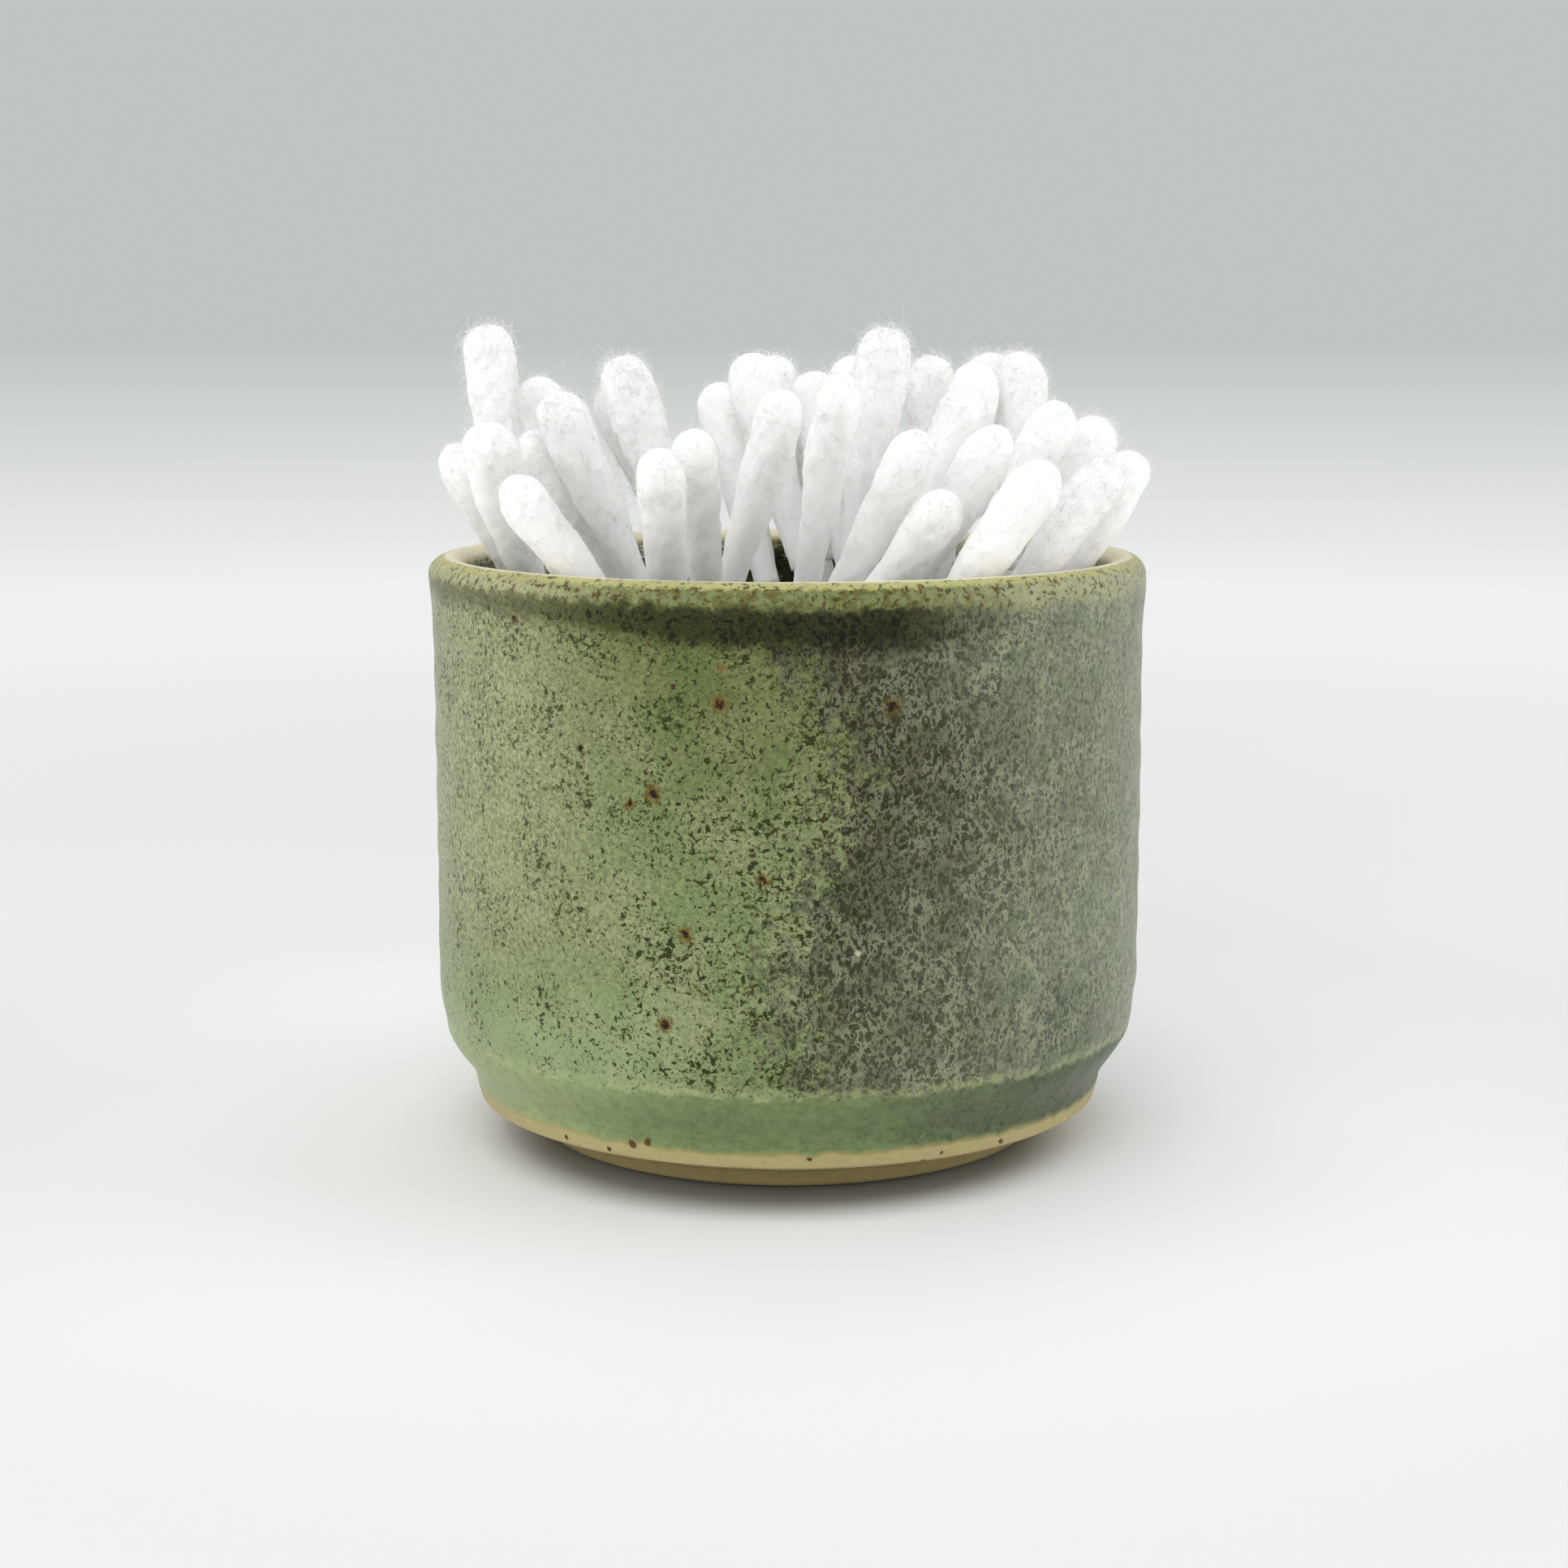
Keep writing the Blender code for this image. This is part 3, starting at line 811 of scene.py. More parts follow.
@dataclass(frozen=True)
class CottonFinish:
    """Soft wound cotton, white, lit through, with faint fibres along the swab."""

    name: str = "wound_cotton"
    white: Colour = (0.97, 0.965, 0.955)
    hollow: Colour = (0.945, 0.93, 0.90)
    along: float = 0.28
    wisps: Noise = Noise(1.7, 5.0, 0.7, warp=0.4)
    clumps: Noise = Noise(0.55, 3.0, 0.6)
    clump_share: float = 0.5
    fade: Pair = (0.4, 0.85)
    roughness: float = 0.95
    shine: float = 0.1
    depth: float = 0.9 * MM
    depth_by_colour: Colour = (1.0, 1.0, 0.9)
    light_through: float = 0.5
    fluff: float = 0.35
    fluff_roughness: float = 0.6
    relief_depth: float = 0.14 * MM
    relief_strength: float = 0.5

    def material(self) -> bpy.types.Material:
        """Wire the whole finish.

        Returns:
            The material.
        """
        graph = Graph(self.name, (1 / MM, 1 / MM, self.along / MM), "own_place")
        wisps = graph.noise(self.wisps)
        clumps = graph.noise(self.clumps)
        tone = (wisps + clumps * self.clump_share).rise(*self.fade)
        graph.surface(
            {
                "Base Color": tone.tint(self.hollow, self.white),
                "Roughness": self.roughness,
                "Specular IOR Level": self.shine,
                "Subsurface Weight": self.light_through,
                "Subsurface Radius": self.depth_by_colour,
                "Subsurface Scale": self.depth,
                "Sheen Weight": self.fluff,
                "Sheen Roughness": self.fluff_roughness,
            }
        )
        graph.relief(wisps + clumps, self.relief_depth, self.relief_strength)
        return graph.material


@dataclass(frozen=True)
class PaperFinish:
    """Rolled white paper with a fine grain along the stick."""

    name: str = "rolled_paper"
    white: Colour = (0.86, 0.86, 0.84)
    grey: Colour = (0.76, 0.75, 0.72)
    along: float = 0.12
    grain: Noise = Noise(3.5, 4.0, 0.65)
    roughness: float = 0.8
    relief_depth: float = 0.03 * MM
    relief_strength: float = 0.4

    def material(self) -> bpy.types.Material:
        """Wire the whole finish.

        Returns:
            The material.
        """
        graph = Graph(self.name, (1 / MM, 1 / MM, self.along / MM), "own_place")
        grain = graph.noise(self.grain)
        graph.surface({"Base Color": grain.tint(self.grey, self.white), "Roughness": self.roughness})
        graph.relief(grain, self.relief_depth, self.relief_strength)
        return graph.material


@dataclass
class Pot:
    """The turned pot, one fired piece that is glazed all over but for its foot.

    Attributes:
        height: From the foot ring to the crest of the lip.
        radius: The wall's outside radius.
        calm_foot: Between these heights the unevenness sets in.
    """

    height: float = 57.6 * MM
    radius: float = 35.0 * MM
    wall_start: float = 16.5 * MM
    ridge_height: float = 11.5 * MM
    ridge_inset: float = 0.6 * MM
    glaze_line_height: float = 5.7 * MM
    glaze_line_inset: float = 3.5 * MM
    bevel_height: float = 4.2 * MM
    bevel_inset: float = 3.85 * MM
    bevel_round: float = 0.35 * MM
    foot_inset: float = 9.6 * MM
    foot_height: float = 2.0 * MM
    foot_taper: float = 0.4 * MM
    foot_ring: float = 3.8 * MM
    foot_gap: float = 0.5 * MM
    foot_under: float = 1.3 * MM
    recess: float = 1.5 * MM
    recess_draft: float = 0.6 * MM
    lip_thickness: float = 3.6 * MM
    lip_flare: float = 0.3 * MM
    lip_flare_length: float = 6.0 * MM
    wall: float = 3.8 * MM
    floor: float = 4.5 * MM
    inner_fillet: float = 8.0 * MM
    axis_gap: float = 2 * MM
    columns: int = 384
    calm_foot: Pair = (1 * MM, 8 * MM)
    wobble: float = 0.07 * MM
    wobble_length: float = 38 * MM
    throwing: float = 0.035 * MM
    throwing_pitch: float = 5.2 * MM
    ripple: float = 0.02 * MM
    ripple_length: float = 4 * MM
    glaze_roll: float = 0.16 * MM
    roll_height: float = 0.9 * MM
    roll_unevenness: float = 0.35
    roll_length: float = 9 * MM
    finish: StonewareFinish = StonewareFinish()

    @staticmethod
    def run(low: Pair, high: Pair, count: int) -> Array:
        """Evenly spaced points of a straight run, without its end."""
        share = np.arange(count)[:, None] / count
        return np.array(low) + (np.array(high) - np.array(low)) * share

    @staticmethod
    def curve(centre: Pair, size: float, start: float, end: float, count: int) -> Array:
        """Points of an arc from one angle to another, with both ends."""
        return np.array(centre) + around(size, np.linspace(start, end, count), 0)[:, :2]

    @staticmethod
    def eased(low: Pair, high: Pair, count: int) -> Array:
        """Points of an S-shaped run, upright at both ends: the radius follows 3 t^2 - 2 t^3.

        Args:
            low: The first point, as (radius, height).
            high: The point that it runs to.
            count: How many points it has.

        Returns:
            The points, without the last.
        """
        share = np.arange(count) / count
        radius = low[0] + (high[0] - low[0]) * smooth_step(share, 0, 1)
        return np.stack([radius, low[1] + (high[1] - low[1]) * share], axis=-1)

    def outline(self) -> Array:
        """The turned outline, from the middle of the underside round to the middle of the floor.

        It is straight runs for the recess, foot and bevel, an S for the band under the ridge, a quarter sine
        for the swell up to the wall, half a circle for the lip and a quarter circle for the inner fillet.

        Returns:
            Points as (radius, height), without both ends on the axis.
        """
        contact = self.radius - self.foot_inset - self.foot_taper
        ring = contact - self.foot_ring
        edge = (self.radius - self.bevel_inset, self.bevel_height)
        bevel = (edge[0] - self.bevel_round, edge[1] - self.bevel_round)
        line = (self.radius - self.glaze_line_inset, self.glaze_line_height)
        ridge = (self.radius - self.ridge_inset, self.ridge_height)
        half_lip = self.lip_thickness / 2
        lip = (self.radius + self.lip_flare - half_lip, self.height - half_lip)
        flare_start = lip[1] - self.lip_flare_length
        inner = self.radius - self.wall
        level = self.recess + self.floor
        fillet = (inner - self.inner_fillet, level + self.inner_fillet)
        share = np.arange(10) / 10
        swell_radius = ridge[0] + self.ridge_inset * np.sin(math.pi / 2 * share)
        swell_height = ridge[1] + (self.wall_start - ridge[1]) * share
        underside = [
            (self.axis_gap, self.recess),
            (ring - self.recess_draft, self.recess),
            (ring, 0),
            (contact - self.foot_under, 0),
            (contact, self.foot_gap),
            (self.radius - self.foot_inset, self.foot_height),
            bevel,
        ]
        return np.concatenate(
            [
                *(self.run(*ends) for ends in zip(underside, underside[1:], [8, 4, 6, 4, 5, 9])),
                self.curve((bevel[0], edge[1]), self.bevel_round, -math.pi / 3, 0, 4),
                self.run(edge, line, 9)[1:],
                self.eased(line, ridge, 26),
                np.stack([swell_radius, swell_height], axis=-1),
                self.run((self.radius, self.wall_start), (self.radius, flare_start), 46),
                self.eased((self.radius, flare_start), (self.radius + self.lip_flare, lip[1]), 10),
                self.curve(lip, half_lip, 0, math.pi, 22),
                self.run((lip[0] - half_lip, lip[1]), (inner, flare_start), 8)[1:],
                self.run((inner, flare_start), (inner, fillet[1]), 28),
                self.curve(fillet, self.inner_fillet, 0, -math.pi / 2, 12),
                self.run((fillet[0], level), (self.axis_gap, level), 10)[1:],
            ]
        )

    def build(self) -> MeshPart:
        """Turn the outline, with the slight unevenness of a thrown and hand-glazed pot.

        A ring's radius gets a slow wobble round the pot, faint throwing rings that climb in a spiral, and a
        roll of glaze just above the line where it stops.

        Returns:
            The closed surface.
        """
        outline = self.outline()
        radius, height = outline[:, 0][:, None], outline[:, 1][:, None]
        turn = full_turn(self.columns)
        even = around(radius, turn, height)
        standing = smooth_step(height, *self.calm_foot)
        wobble = self.wobble * solid_noise(even * np.array([1, 1, 0.5]), self.wobble_length, seed=3)
        spiral = self.throwing * np.sin(math.tau * height / self.throwing_pitch + turn)
        ripple = self.ripple * solid_noise(even, self.ripple_length, seed=5)
        outside = (radius > self.radius - self.wall + 0.5 * MM).astype(float)
        above = (height - self.glaze_line_height) / self.roll_height
        roll = self.glaze_roll * np.exp(-((above - 0.5) ** 2) * 3) * outside
        roll = roll * (1 + self.roll_unevenness * solid_noise(even, self.roll_length, seed=8))
        rings = around(radius + standing * (wobble + spiral + ripple) + roll, turn, height)
        return turned_surface(rings, *around(0.0, 0.0, np.array([self.recess, self.recess + self.floor])))

    def dress(self) -> bpy.types.Object:
        """Make the pot's piece, which stands for the turned node and rides with it.

        Returns:
            The piece.
        """
        piece = self.build().to_object("pot_glazed", self.finish.material())
        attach(piece, "pot")
        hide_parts("pot")
        return piece


@dataclass(frozen=True)
class Fuzz:
    """Loose fibres on a bud: how many lie close and how many stray, their lengths and how they curl.

    Attributes:
        lift: How steeply they leave the surface, as a sine.
        bend: How strongly they bend at random.
        droop: How strongly they bend back to the surface.
        curl: How far their curl turns, in radians.
        curl_size: The curl's radius, as a share of the length.
    """

    close: int = 520
    stray: int = 12
    close_length: float = 0.9 * MM
    stray_length: float = 3.4 * MM
    close_spread: Pair = (0.4, 1.4)
    stray_spread: Pair = (0.5, 1.3)
    thickness: float = 0.038 * MM
    narrowing: float = 0.6
    joints: int = 6
    lift: Pair = (0.10, 0.62)
    bend: float = 0.30
    droop: float = 0.45
    curl: Pair = (2.5, 6.5)
    curl_size: float = 0.17

    def strands(
        self, roots: Array, normals: Array, along: Array, lengths: Array, random: np.random.Generator
    ) -> MeshPart:
        """Thin three-sided hairs that leave the surface at a slant and curl.

        A hair's middle line is root + length (t d + b t^2 + w (sin(c t) side + (1 - cos(c t)) other)), with t
        from 0 to 1, d a slanted start direction, b a bend, c the curl's turn and w its size. Each joint of
        the line carries a triangle that narrows to the tip.

        Args:
            roots: Where the hairs start.
            normals: The surface's outward directions there.
            along: Directions along the surface there.
            lengths: One length for each hair.
            random: The source of each hair's turn and curl.

        Returns:
            All the hairs.
        """
        count = len(roots)
        turn = random.uniform(0, math.tau, count)[:, None]
        lying = along * np.cos(turn) + np.cross(normals, along) * np.sin(turn)
        lift = random.uniform(*self.lift, count)[:, None]
        start = lying * np.sqrt(1 - lift**2) + normals * lift
        bend = random.normal(size=(count, 3)) * self.bend - normals * lift * self.droop
        side = unit(np.cross(start, random.normal(size=(count, 3))))
        other = np.cross(start, side)
        t = np.linspace(0, 1, self.joints)[None, :, None]
        curl = random.uniform(*self.curl, count)[:, None, None] * t
        wave = self.curl_size * (np.sin(curl) * side[:, None] + (1 - np.cos(curl)) * other[:, None])
        line = roots[:, None] + lengths[:, None, None] * (t * start[:, None] + t**2 * bend[:, None] + wave)
        tangent = unit(np.gradient(line, axis=1))
        one = unit(np.cross(tangent, side[:, None] + 0.01))
        two = np.cross(tangent, one)
        angles = full_turn(3).T
        width = (self.thickness / 2) * (1 - self.narrowing * t)[..., None]
        offset = one[:, :, None] * np.cos(angles) + two[:, :, None] * np.sin(angles)
        points = line[:, :, None] + width * offset
        index = np.arange(count * self.joints * 3).reshape(count, self.joints, 3)
        caps = np.concatenate([index[:, 0, ::-1], index[:, -1]])
        return MeshPart(points.reshape(-1, 3), faces_between(index), caps)


@dataclass
class CottonSwab:
    """One cotton swab: a rolled paper stick and a wound bud on each end.

    Attributes:
        name: The swab's name, which is also its body's.
        nodes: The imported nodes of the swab.
        way: The direction from its lower to its upper end.
        seed: Picks its own unevenness.
        fit: How far the bore stands off the stick.
        bare_edge: How far from a bud's edge the lumps set in.
        crowding: How strongly a bud's rings crowd to its tip.
    """

    name: str
    nodes: list[str]
    way: Array
    seed: int
    length: float = 74 * MM
    stick_radius: float = 1.1 * MM
    paper_edge: float = 0.03 * MM
    paper_pitch: float = 42 * MM
    stick_rows: int = 60
    stick_columns: int = 36
    bud_length: float = 23 * MM
    nose_length: float = 3.2 * MM
    full_length: float = 5.0 * MM
    edge_thickness: float = 0.22 * MM
    end_cover: float = 3 * MM
    fit: float = 0.03 * MM
    bare_edge: float = 2 * MM
    crowding: float = 1.5
    bud_columns: int = 56
    bud_rows: int = 72
    lumps: float = 0.10 * MM
    lump_length: float = 4.5 * MM
    fluff: float = 0.035 * MM
    fluff_length: float = 0.9 * MM
    upper_fuzz: Fuzz = Fuzz()
    lower_fuzz: Fuzz = Fuzz(close=60, stray=2)
    tip: Array = field(init=False)
    bud_radius: float = field(init=False)
    axes: Array = field(init=False)

    def __post_init__(self) -> None:
        """Read the swab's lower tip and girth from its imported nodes.

        The middle of the nodes' reach along two directions across the swab lies on its axis, and the point
        farthest from the axis gives the bud's radius.
        """
        self.way = unit(self.way)
        side = unit(np.cross([0.0, 1.0, 0.0], self.way))
        self.axes = np.stack([side, np.cross(self.way, side), self.way])
        points = np.concatenate([self.node_points(node) for node in self.nodes]) @ self.axes.T
        low, high = points.min(axis=0), points.max(axis=0)
        middle = (low + high) / 2
        self.tip = np.array([middle[0], middle[1], low[2]])
        self.bud_radius = float(np.hypot(*(points[:, :2] - middle[:2]).T).max())

    @staticmethod
    def node_points(node: str) -> Array:
        """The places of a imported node's vertices.

        Args:
            node: The node's name.

        Returns:
            One row for each vertex.
        """
        mesh = frame["nodes"][node].data
        flat = np.zeros(len(mesh.vertices) * 3, np.float32)
        mesh.vertices.foreach_get("co", flat)
        return flat.reshape(-1, 3).astype(float)

    def placed(self, surface: MeshPart) -> tuple[MeshPart, Array]:
        """Take a surface from the swab's own frame, lower tip at the origin and length along Z, to the row's.

        Args:
            surface: The surface in the swab's own frame.

        Returns:
            The surface in the row's frame, and each vertex's place in the swab's own frame.
        """
        points = (surface.points + self.tip) @ self.axes
        return MeshPart(points, surface.quads, surface.triangles), surface.points

    def bud_radii(self, distance: Array, random: np.random.Generator) -> Array:
        """A bud's radius at each distance from its tip.

        The nose is part of an ellipse, the head is full with a slight swell, and the taper is half a cosine
        down to the edge on the stick.

        Args:
            distance: Distances from the tip.
            random: The source of this bud's own proportions.

        Returns:
            The radii.
        """
        swell = random.uniform(-0.01, 0.04)
        neck = random.uniform(0.0, 0.05)
        flat_nose = random.uniform(2.0, 2.5)
        edge = self.stick_radius + self.edge_thickness
        nose = (1 - (1 - np.clip(distance / self.nose_length, 0, 1)) ** flat_nose) ** (1 / flat_nose)
        taper_share = np.clip((distance - self.full_length) / (self.bud_length - self.full_length), 0, 1)
        taper = edge + (self.bud_radius - edge) * (0.5 + 0.5 * np.cos(math.pi * taper_share))
        shape = 1 + swell * np.exp(-(((distance - 4.2 * MM) / (1.8 * MM)) ** 2))
        shape = shape - neck * np.exp(-(((distance - 10 * MM) / (3.0 * MM)) ** 2))
        return taper * nose * shape

    def bud(self, upper: bool) -> tuple[MeshPart, Array]:
        """One wound bud with its fuzz.

        The surface is a ring of radius r(s) at each distance s from the tip, pushed out and in by slow lumps
        and a finer fluff, and it turns in at its edge to a blind bore in which the stick ends.

        Args:
            upper: Whether it is the upper bud.

        Returns:
            The surface in the row's frame, and each vertex's place in the swab's own frame.
        """
        random = np.random.default_rng(self.seed * 2 + int(upper))
        rows = self.bud_rows if upper else self.bud_rows // 2
        turn = full_turn(self.bud_columns if upper else self.bud_columns // 2)
        distance = self.bud_length * ((np.arange(rows) + 1) / rows)[:, None] ** self.crowding
        radius = self.bud_radii(distance, random)
        even = around(radius, turn, distance)
        inset = smooth_step(self.bud_length - distance, 0, self.bare_edge)
        body = np.minimum(radius / self.bud_radius, 1) * inset
        lumps = self.lumps * solid_noise(even * np.array([1, 1, 0.6]), self.lump_length, self.seed + 100)
        fluff = self.fluff * solid_noise(even * np.array([1, 1, 0.45]), self.fluff_length, self.seed + 200)
        rings = around(radius + body * (lumps + fluff), turn, distance)
        bore = around(self.stick_radius + self.fit, turn, np.array([[self.bud_length], [self.end_cover]]))
        end = np.array([0, 0, self.end_cover])
        surface = turned_surface(np.concatenate([rings, bore]), np.zeros(3), end)
        hairs = self.hairs(rings, self.upper_fuzz if upper else self.lower_fuzz, random)
        whole = MeshPart.joined([surface, hairs])
        if upper:
            whole.points = whole.points * np.array([1, -1, -1]) + np.array([0, 0, self.length])
        return self.placed(whole)

    def hairs(self, rings: Array, fuzz: Fuzz, random: np.random.Generator) -> MeshPart:
        """The fuzz of one bud, rooted just under its surface and denser near the tip.

        Args:
            rings: The bud's points as (rows, columns, 3).
            fuzz: The kind of fibres.
            random: The source of their places, lengths and curls.

        Returns:
            All the fibres.
        """
        rows, columns = rings.shape[:2]
        count = fuzz.close + fuzz.stray
        row = np.minimum((random.beta(1.1, 1.6, count) * (rows - 2)).astype(int) + 1, rows - 2)
        column = random.integers(0, columns, count)
        along = unit(rings[row + 1, column] - rings[row - 1, column])
        beside = rings[row, (column + 1) % columns] - rings[row, column - 1]
        normals = unit(np.cross(beside, along))
        close = fuzz.close_length * random.uniform(*fuzz.close_spread, fuzz.close)
        stray = fuzz.stray_length * random.uniform(*fuzz.stray_spread, fuzz.stray)
        roots = rings[row, column] - normals * 0.02 * MM
        return fuzz.strands(roots, normals, along, np.concatenate([close, stray]), random)

    def stick(self) -> tuple[MeshPart, Array]:
        """The paper stick, a solid roll with the faint step of the paper's edge winding round it.

        The step's angle is 2 pi z / pitch, and the radius falls from it by a paper's thickness in one turn.

        Returns:
            The surface in the row's frame, and each vertex's place in the swab's own frame.
        """
        end = self.end_cover + 0.05 * MM
        height = np.linspace(end, self.length - end, self.stick_rows)[:, None]
        turn = full_turn(self.stick_columns)
        winding = np.mod(turn - math.tau * height / self.paper_pitch, math.tau) / math.tau
        rings = around(self.stick_radius - self.paper_edge * winding, turn, height)
        middles = around(0.0, 0.0, height[[0, -1], 0])
        return self.placed(turned_surface(rings, *middles))

    def node_for(self, part: Part) -> str:
        """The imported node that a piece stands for: its own, or the one node of a swab packed whole."""
        own = f"{self.name}_{part.value}"
        return own if own in self.nodes else self.nodes[0]

    def dress(self, cotton: bpy.types.Material, paper: bpy.types.Material) -> list[bpy.types.Object]:
        """Make the swab's three pieces, which ride on its body.

        Args:
            cotton: The buds' finish.
            paper: The stick's finish.

        Returns:
            The three pieces.
        """
        made = []
        looks = {
            Part.STICK: ("paper_stick", "rolled_paper", paper),
            Part.LOWER_BUD: ("lower_cotton", "cotton", cotton),
            Part.UPPER_BUD: ("upper_cotton", "cotton", cotton),
        }
        for part, (name, slot, finish) in looks.items():
            surface, own = self.stick() if part is Part.STICK else self.bud(part is Part.UPPER_BUD)
            piece = surface.to_object(f"{self.name}_{name}", finish, own)
            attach(piece, self.name)
            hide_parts(self.node_for(part))
            made.append(piece)
        return made


@dataclass
class Bundle:
    """All the swabs in the pot, some of them with a frayed head."""

    cotton: CottonFinish = CottonFinish()
    paper: PaperFinish = PaperFinish()
    first_seed: int = 11
    frayed_heads: tuple[int, ...] = (14, 18, 19, 20, 21, 23, 27, 29, 30, 31, 32, 34)
    frayed: Fuzz = Fuzz(close=1150, stray=40, close_length=1.15 * MM, stray_length=2.4 * MM)

    def dress(self) -> list[bpy.types.Object]:
        """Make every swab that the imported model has.

        Returns:
            All their pieces.
        """
        cotton = self.cotton.material()
        paper = self.paper.material()
        bodies = frame["record"]["behaviour"]["bodies"]
        made = []
        for number, joint in enumerate(frame["joints"]):
            name = joint["child"]
            way = np.array(joint["axis"], float)
            swab = CottonSwab(name, list(bodies[name]), way, number + self.first_seed)
            if number + 1 in self.frayed_heads:
                swab.upper_fuzz = self.frayed
            made += swab.dress(cotton, paper)
        return made


@dataclass(frozen=True)
class Lamp:
    """A soft box: its place, its width and height, and its power. All of them face the middle of the pot."""

    name: str
    place: Place
    size: Pair
    power: float
    target: Place = (0.0, 0.0, 0.045)

    def build(self) -> None:
        """Hang the lamp, which no camera sees."""
        light = bpy.data.lights.new(self.name, "AREA")
        light.shape = "RECTANGLE"
        light.size, light.size_y = self.size
        light.energy = self.power
        item = bpy.data.objects.new(self.name, light)
        bpy.context.scene.collection.objects.link(item)
        item.location = self.place
        item.visible_camera = False
        x, y, z = np.array(self.target) - np.array(self.place)
        item.rotation_euler = (math.atan2(math.hypot(x, y), -z), 0, math.atan2(y, x) - math.pi / 2)


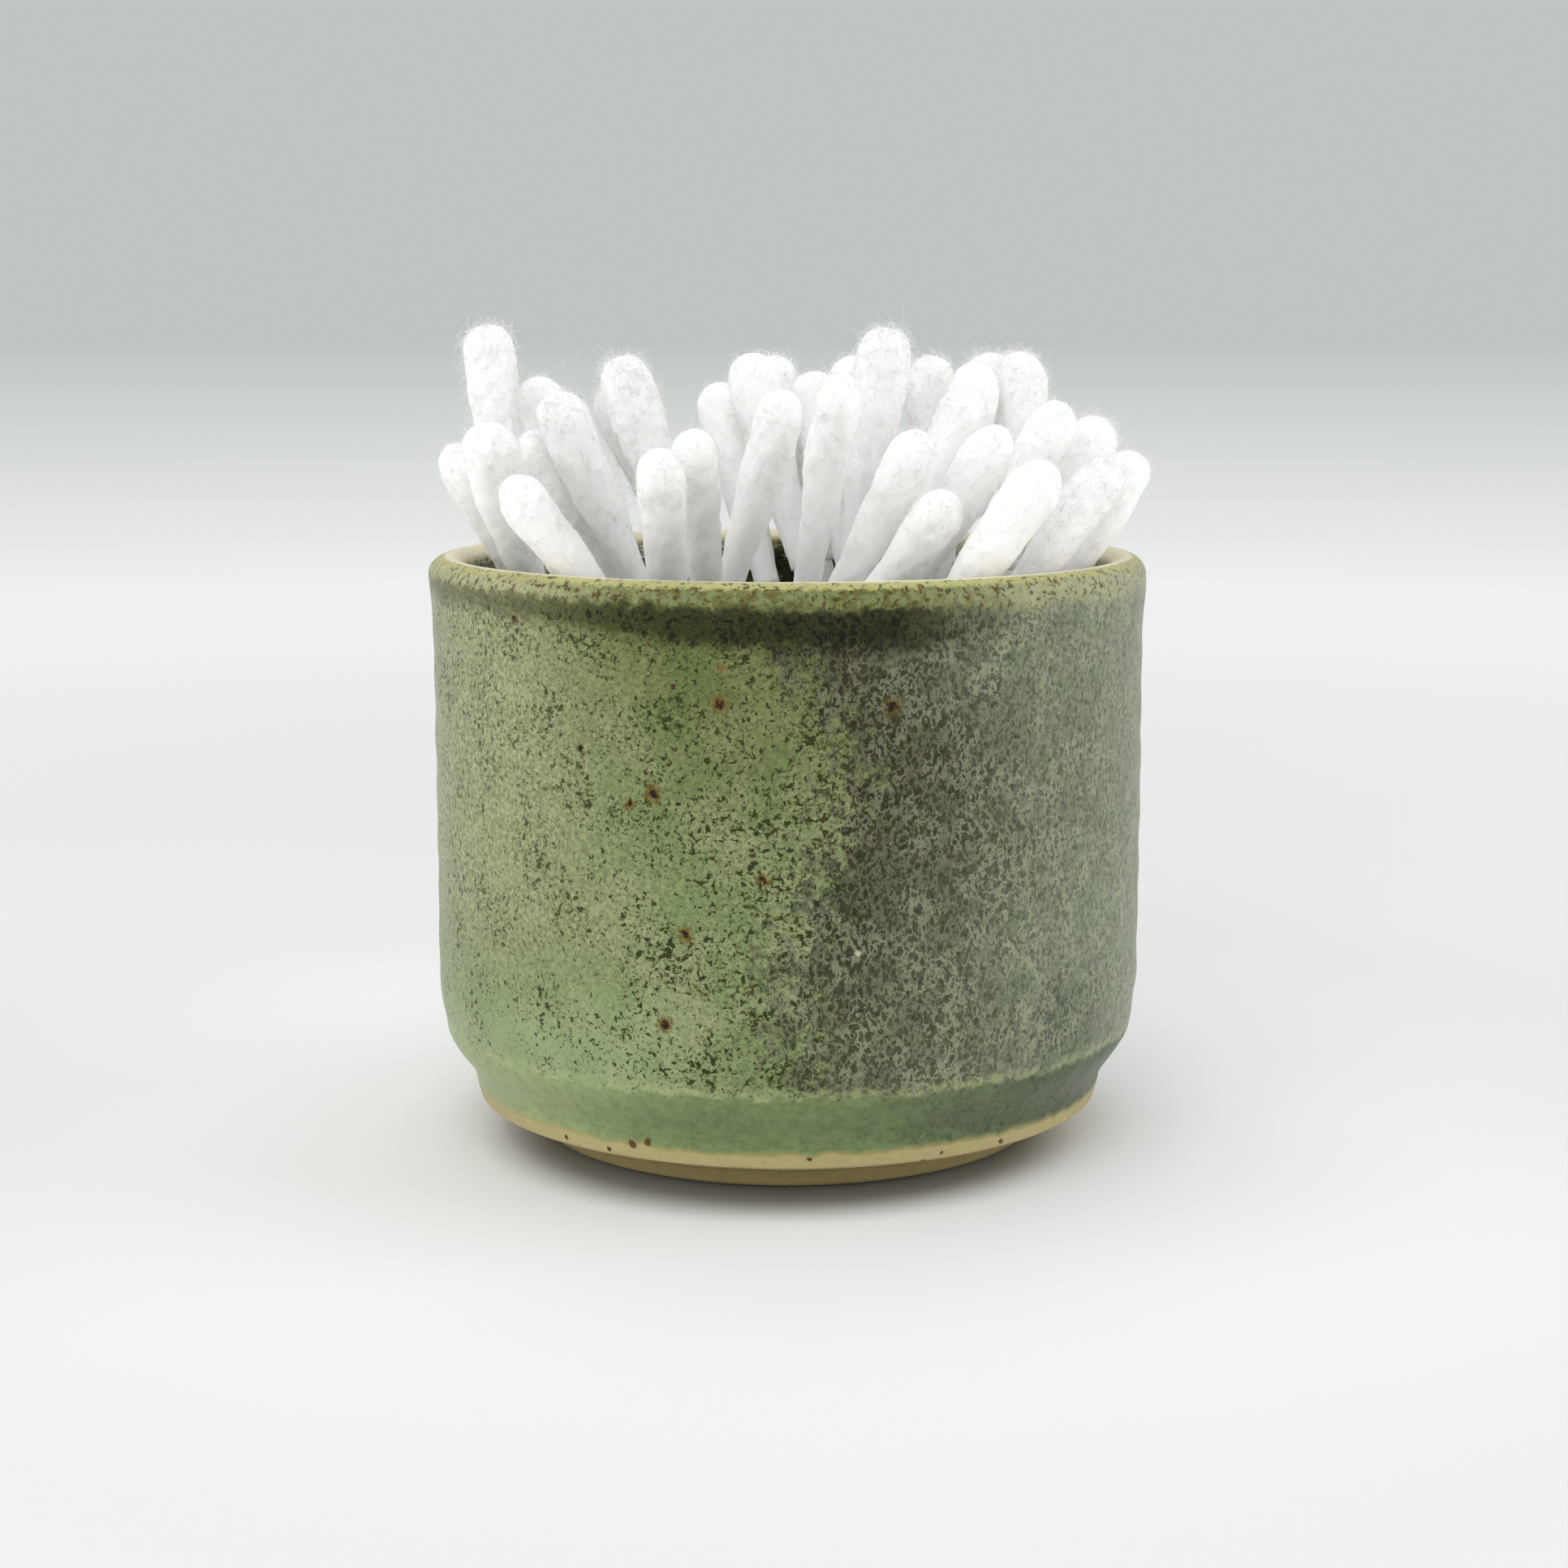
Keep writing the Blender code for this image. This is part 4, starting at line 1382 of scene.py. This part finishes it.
@dataclass(frozen=True)
class Studio:
    """A pale floor that fades into an even grey distance, soft lamps round the pot and the camera.

    The floor and its fade are the same all round, so each side of the pot has the same background.
    """

    floor_radius: float = 30.0
    floor_start: float = 0.02
    floor_rings: int = 48
    floor_columns: int = 96
    paper: Colour = from_srgb(239, 240, 240)
    far_paper: Colour = from_srgb(239, 241, 240)
    wall: Colour = from_srgb(191, 196, 195)
    paper_roughness: float = 0.9
    paper_shine: float = 0.2
    tooth: Noise = Noise(900.0, 3.0, 0.6)
    tooth_depth: float = 0.06 * MM
    tooth_strength: float = 0.4
    clouds: Noise = Noise(9.0)
    cloud_shades: Shades = ((0.985, 0.985, 0.985), (1.01, 1.01, 1.01))
    # Painted shade: the paper is painted darker away from the pot, standing for the light's falloff.
    painted_falloff_shade: Colour = (0.89, 0.885, 0.88)
    painted_falloff_reach: Pair = (0.045, 0.11)
    # Painted contact shadow: the paper is painted darker in a ring round the pot's foot, set a little to the
    # front.
    painted_contact_shadow: Colour = (0.34, 0.335, 0.31)
    painted_shadow_centre: Place = (-0.0005, -0.0055, 0.0)
    contact: Pair = (0.0225, 0.0305)
    far: Pair = (0.14, 0.46)
    haze_near: float = 0.9
    haze_start: float = 0.27
    world_light: float = 0.54
    lamps: tuple[Lamp, ...] = (
        Lamp("key_box", (-0.28, -0.75, 0.75), (0.9, 0.9), 4.1),
        Lamp("front_box", (-0.10, -0.85, 0.22), (0.7, 0.35), 1.2),
        Lamp("top_box", (0.0, 0.30, 0.75), (0.7, 0.6), 1.4),
        Lamp("left_box", (-0.75, -0.10, 0.30), (0.6, 0.6), 1.7),
        Lamp("right_box", (0.75, 0.0, 0.30), (0.6, 0.6), 2.6),
    )
    camera_lens: float = 62.53
    camera_sensor: float = 36.0
    camera_clip: float = 0.01
    camera_place: Place = (-0.38 * MM, -269.9 * MM, 78.5 * MM)
    camera_pitch: float = math.radians(9.29)

    def ground(self) -> bpy.types.Object:
        """The floor, a disc of rings whose radii grow from one to the next by the same share.

        Returns:
            The floor's object.
        """
        radii = np.geomspace(self.floor_start, self.floor_radius, self.floor_rings)[:, None]
        rings = around(radii, full_turn(self.floor_columns), 0.0).reshape(-1, 3)
        index = np.arange(len(rings)).reshape(-1, self.floor_columns)
        fan = np.stack([np.full(self.floor_columns, index.size), index[0], np.roll(index[0], -1)], axis=-1)
        disc = MeshPart(np.concatenate([rings, np.zeros((1, 3))]), faces_between(index)[:, ::-1], fan)
        piece = disc.to_object("paper_floor", self.paper_finish())
        return piece

    def paper_finish(self) -> bpy.types.Material:
        """Matt white paper near the pot, which carries its shadow, and an even fade to grey far from it.

        The paper's colour also holds a painted contact shadow round the foot and painted shade away from the pot.

        Returns:
            The material.
        """
        graph = Graph("studio_paper", (1.0, 1.0, 1.0))
        from_pot = graph.place.distance_to((0.0, 0.0, 0.0))
        near = graph.shaded(self.paper, graph.noise(self.clouds), self.cloud_shades)
        # Painted shade away from the pot.
        near = graph.multiplied(near, self.painted_falloff_shade, from_pot.rise(*self.painted_falloff_reach))
        # Painted contact shadow round the foot.
        contact = graph.place.distance_to(self.painted_shadow_centre).fall(*self.contact)
        near = graph.multiplied(near, self.painted_contact_shadow, contact)
        graph.surface(
            {"Base Color": near, "Roughness": self.paper_roughness, "Specular IOR Level": self.paper_shine}
        )
        graph.relief(graph.noise(self.tooth), self.tooth_depth, self.tooth_strength)
        fading = graph.maths("DIVIDE", self.haze_near, from_pot + self.haze_start)
        haze = graph.maths("SUBTRACT", 1.0, fading).most(0.0)
        glow = graph.signal("Emission", {"Color": haze.tint(self.far_paper, self.wall)})
        paper = Signal(graph, graph.shader.outputs[0])
        far = from_pot.rise(*self.far) * self.seen(graph)
        blend = graph.signal("MixShader", {0: far, 1: paper, 2: glow})
        graph.put(graph.nodes["Material Output"].inputs["Surface"], blend)
        return graph.material

    @staticmethod
    def seen(graph: Graph) -> Signal:
        """Whether a ray comes from the camera, by itself or off a gloss, or carries light.

        Args:
            graph: The bench.

        Returns:
            1 where it comes from the camera, and else 0.
        """
        rays = graph.node("LightPath", {}).outputs
        kinds = ("Is Camera Ray", "Is Glossy Ray", "Is Transmission Ray")
        camera, glossy, through = (Signal(graph, rays[kind]) for kind in kinds)
        return graph.maths("MINIMUM", camera + glossy + through, 1.0)

    def distance(self) -> None:
        """An even grey world: plain light for the object, and the wall's grey where the camera sees it."""
        world = bpy.data.worlds.new("even_grey")
        world.use_nodes = True
        nodes, links = world.node_tree.nodes, world.node_tree.links
        light = nodes["Background"]
        light.inputs["Color"].default_value = (1.0, 1.0, 1.0, 1.0)
        light.inputs["Strength"].default_value = self.world_light
        shown = nodes.new("ShaderNodeBackground")
        shown.inputs["Color"].default_value = (*self.wall, 1.0)
        rays = nodes.new("ShaderNodeLightPath")
        blend = nodes.new("ShaderNodeMixShader")
        links.new(rays.outputs["Is Camera Ray"], blend.inputs[0])
        links.new(light.outputs[0], blend.inputs[1])
        links.new(shown.outputs[0], blend.inputs[2])
        links.new(blend.outputs[0], nodes["World Output"].inputs["Surface"])
        bpy.context.scene.world = world

    def camera(self) -> None:
        """The camera, level with the top of the swabs and tipped down a little."""
        data = bpy.data.cameras.new("camera")
        data.sensor_width = self.camera_sensor
        data.lens = self.camera_lens
        data.clip_start = self.camera_clip
        item = bpy.data.objects.new("camera", data)
        bpy.context.scene.collection.objects.link(item)
        item.location = self.camera_place
        item.rotation_euler = (math.pi / 2 - self.camera_pitch, 0, 0)
        bpy.context.scene.camera = item

    def build(self) -> None:
        """Set the whole studio up."""
        self.camera()
        self.ground()
        for lamp in self.lamps:
            lamp.build()
        self.distance()
        bpy.context.scene.view_settings.view_transform = "Standard"


def main() -> None:
    """Dress the pot and its swabs and set up the studio."""
    logging.basicConfig(level=logging.INFO, format="%(message)s")
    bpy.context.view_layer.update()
    Studio().build()
    pieces = [Pot().dress(), *Bundle().dress()]
    for piece in pieces:
        LOG.info("%s: %d faces", piece.name, len(piece.data.polygons))


if __name__ == "__main__":
    main()
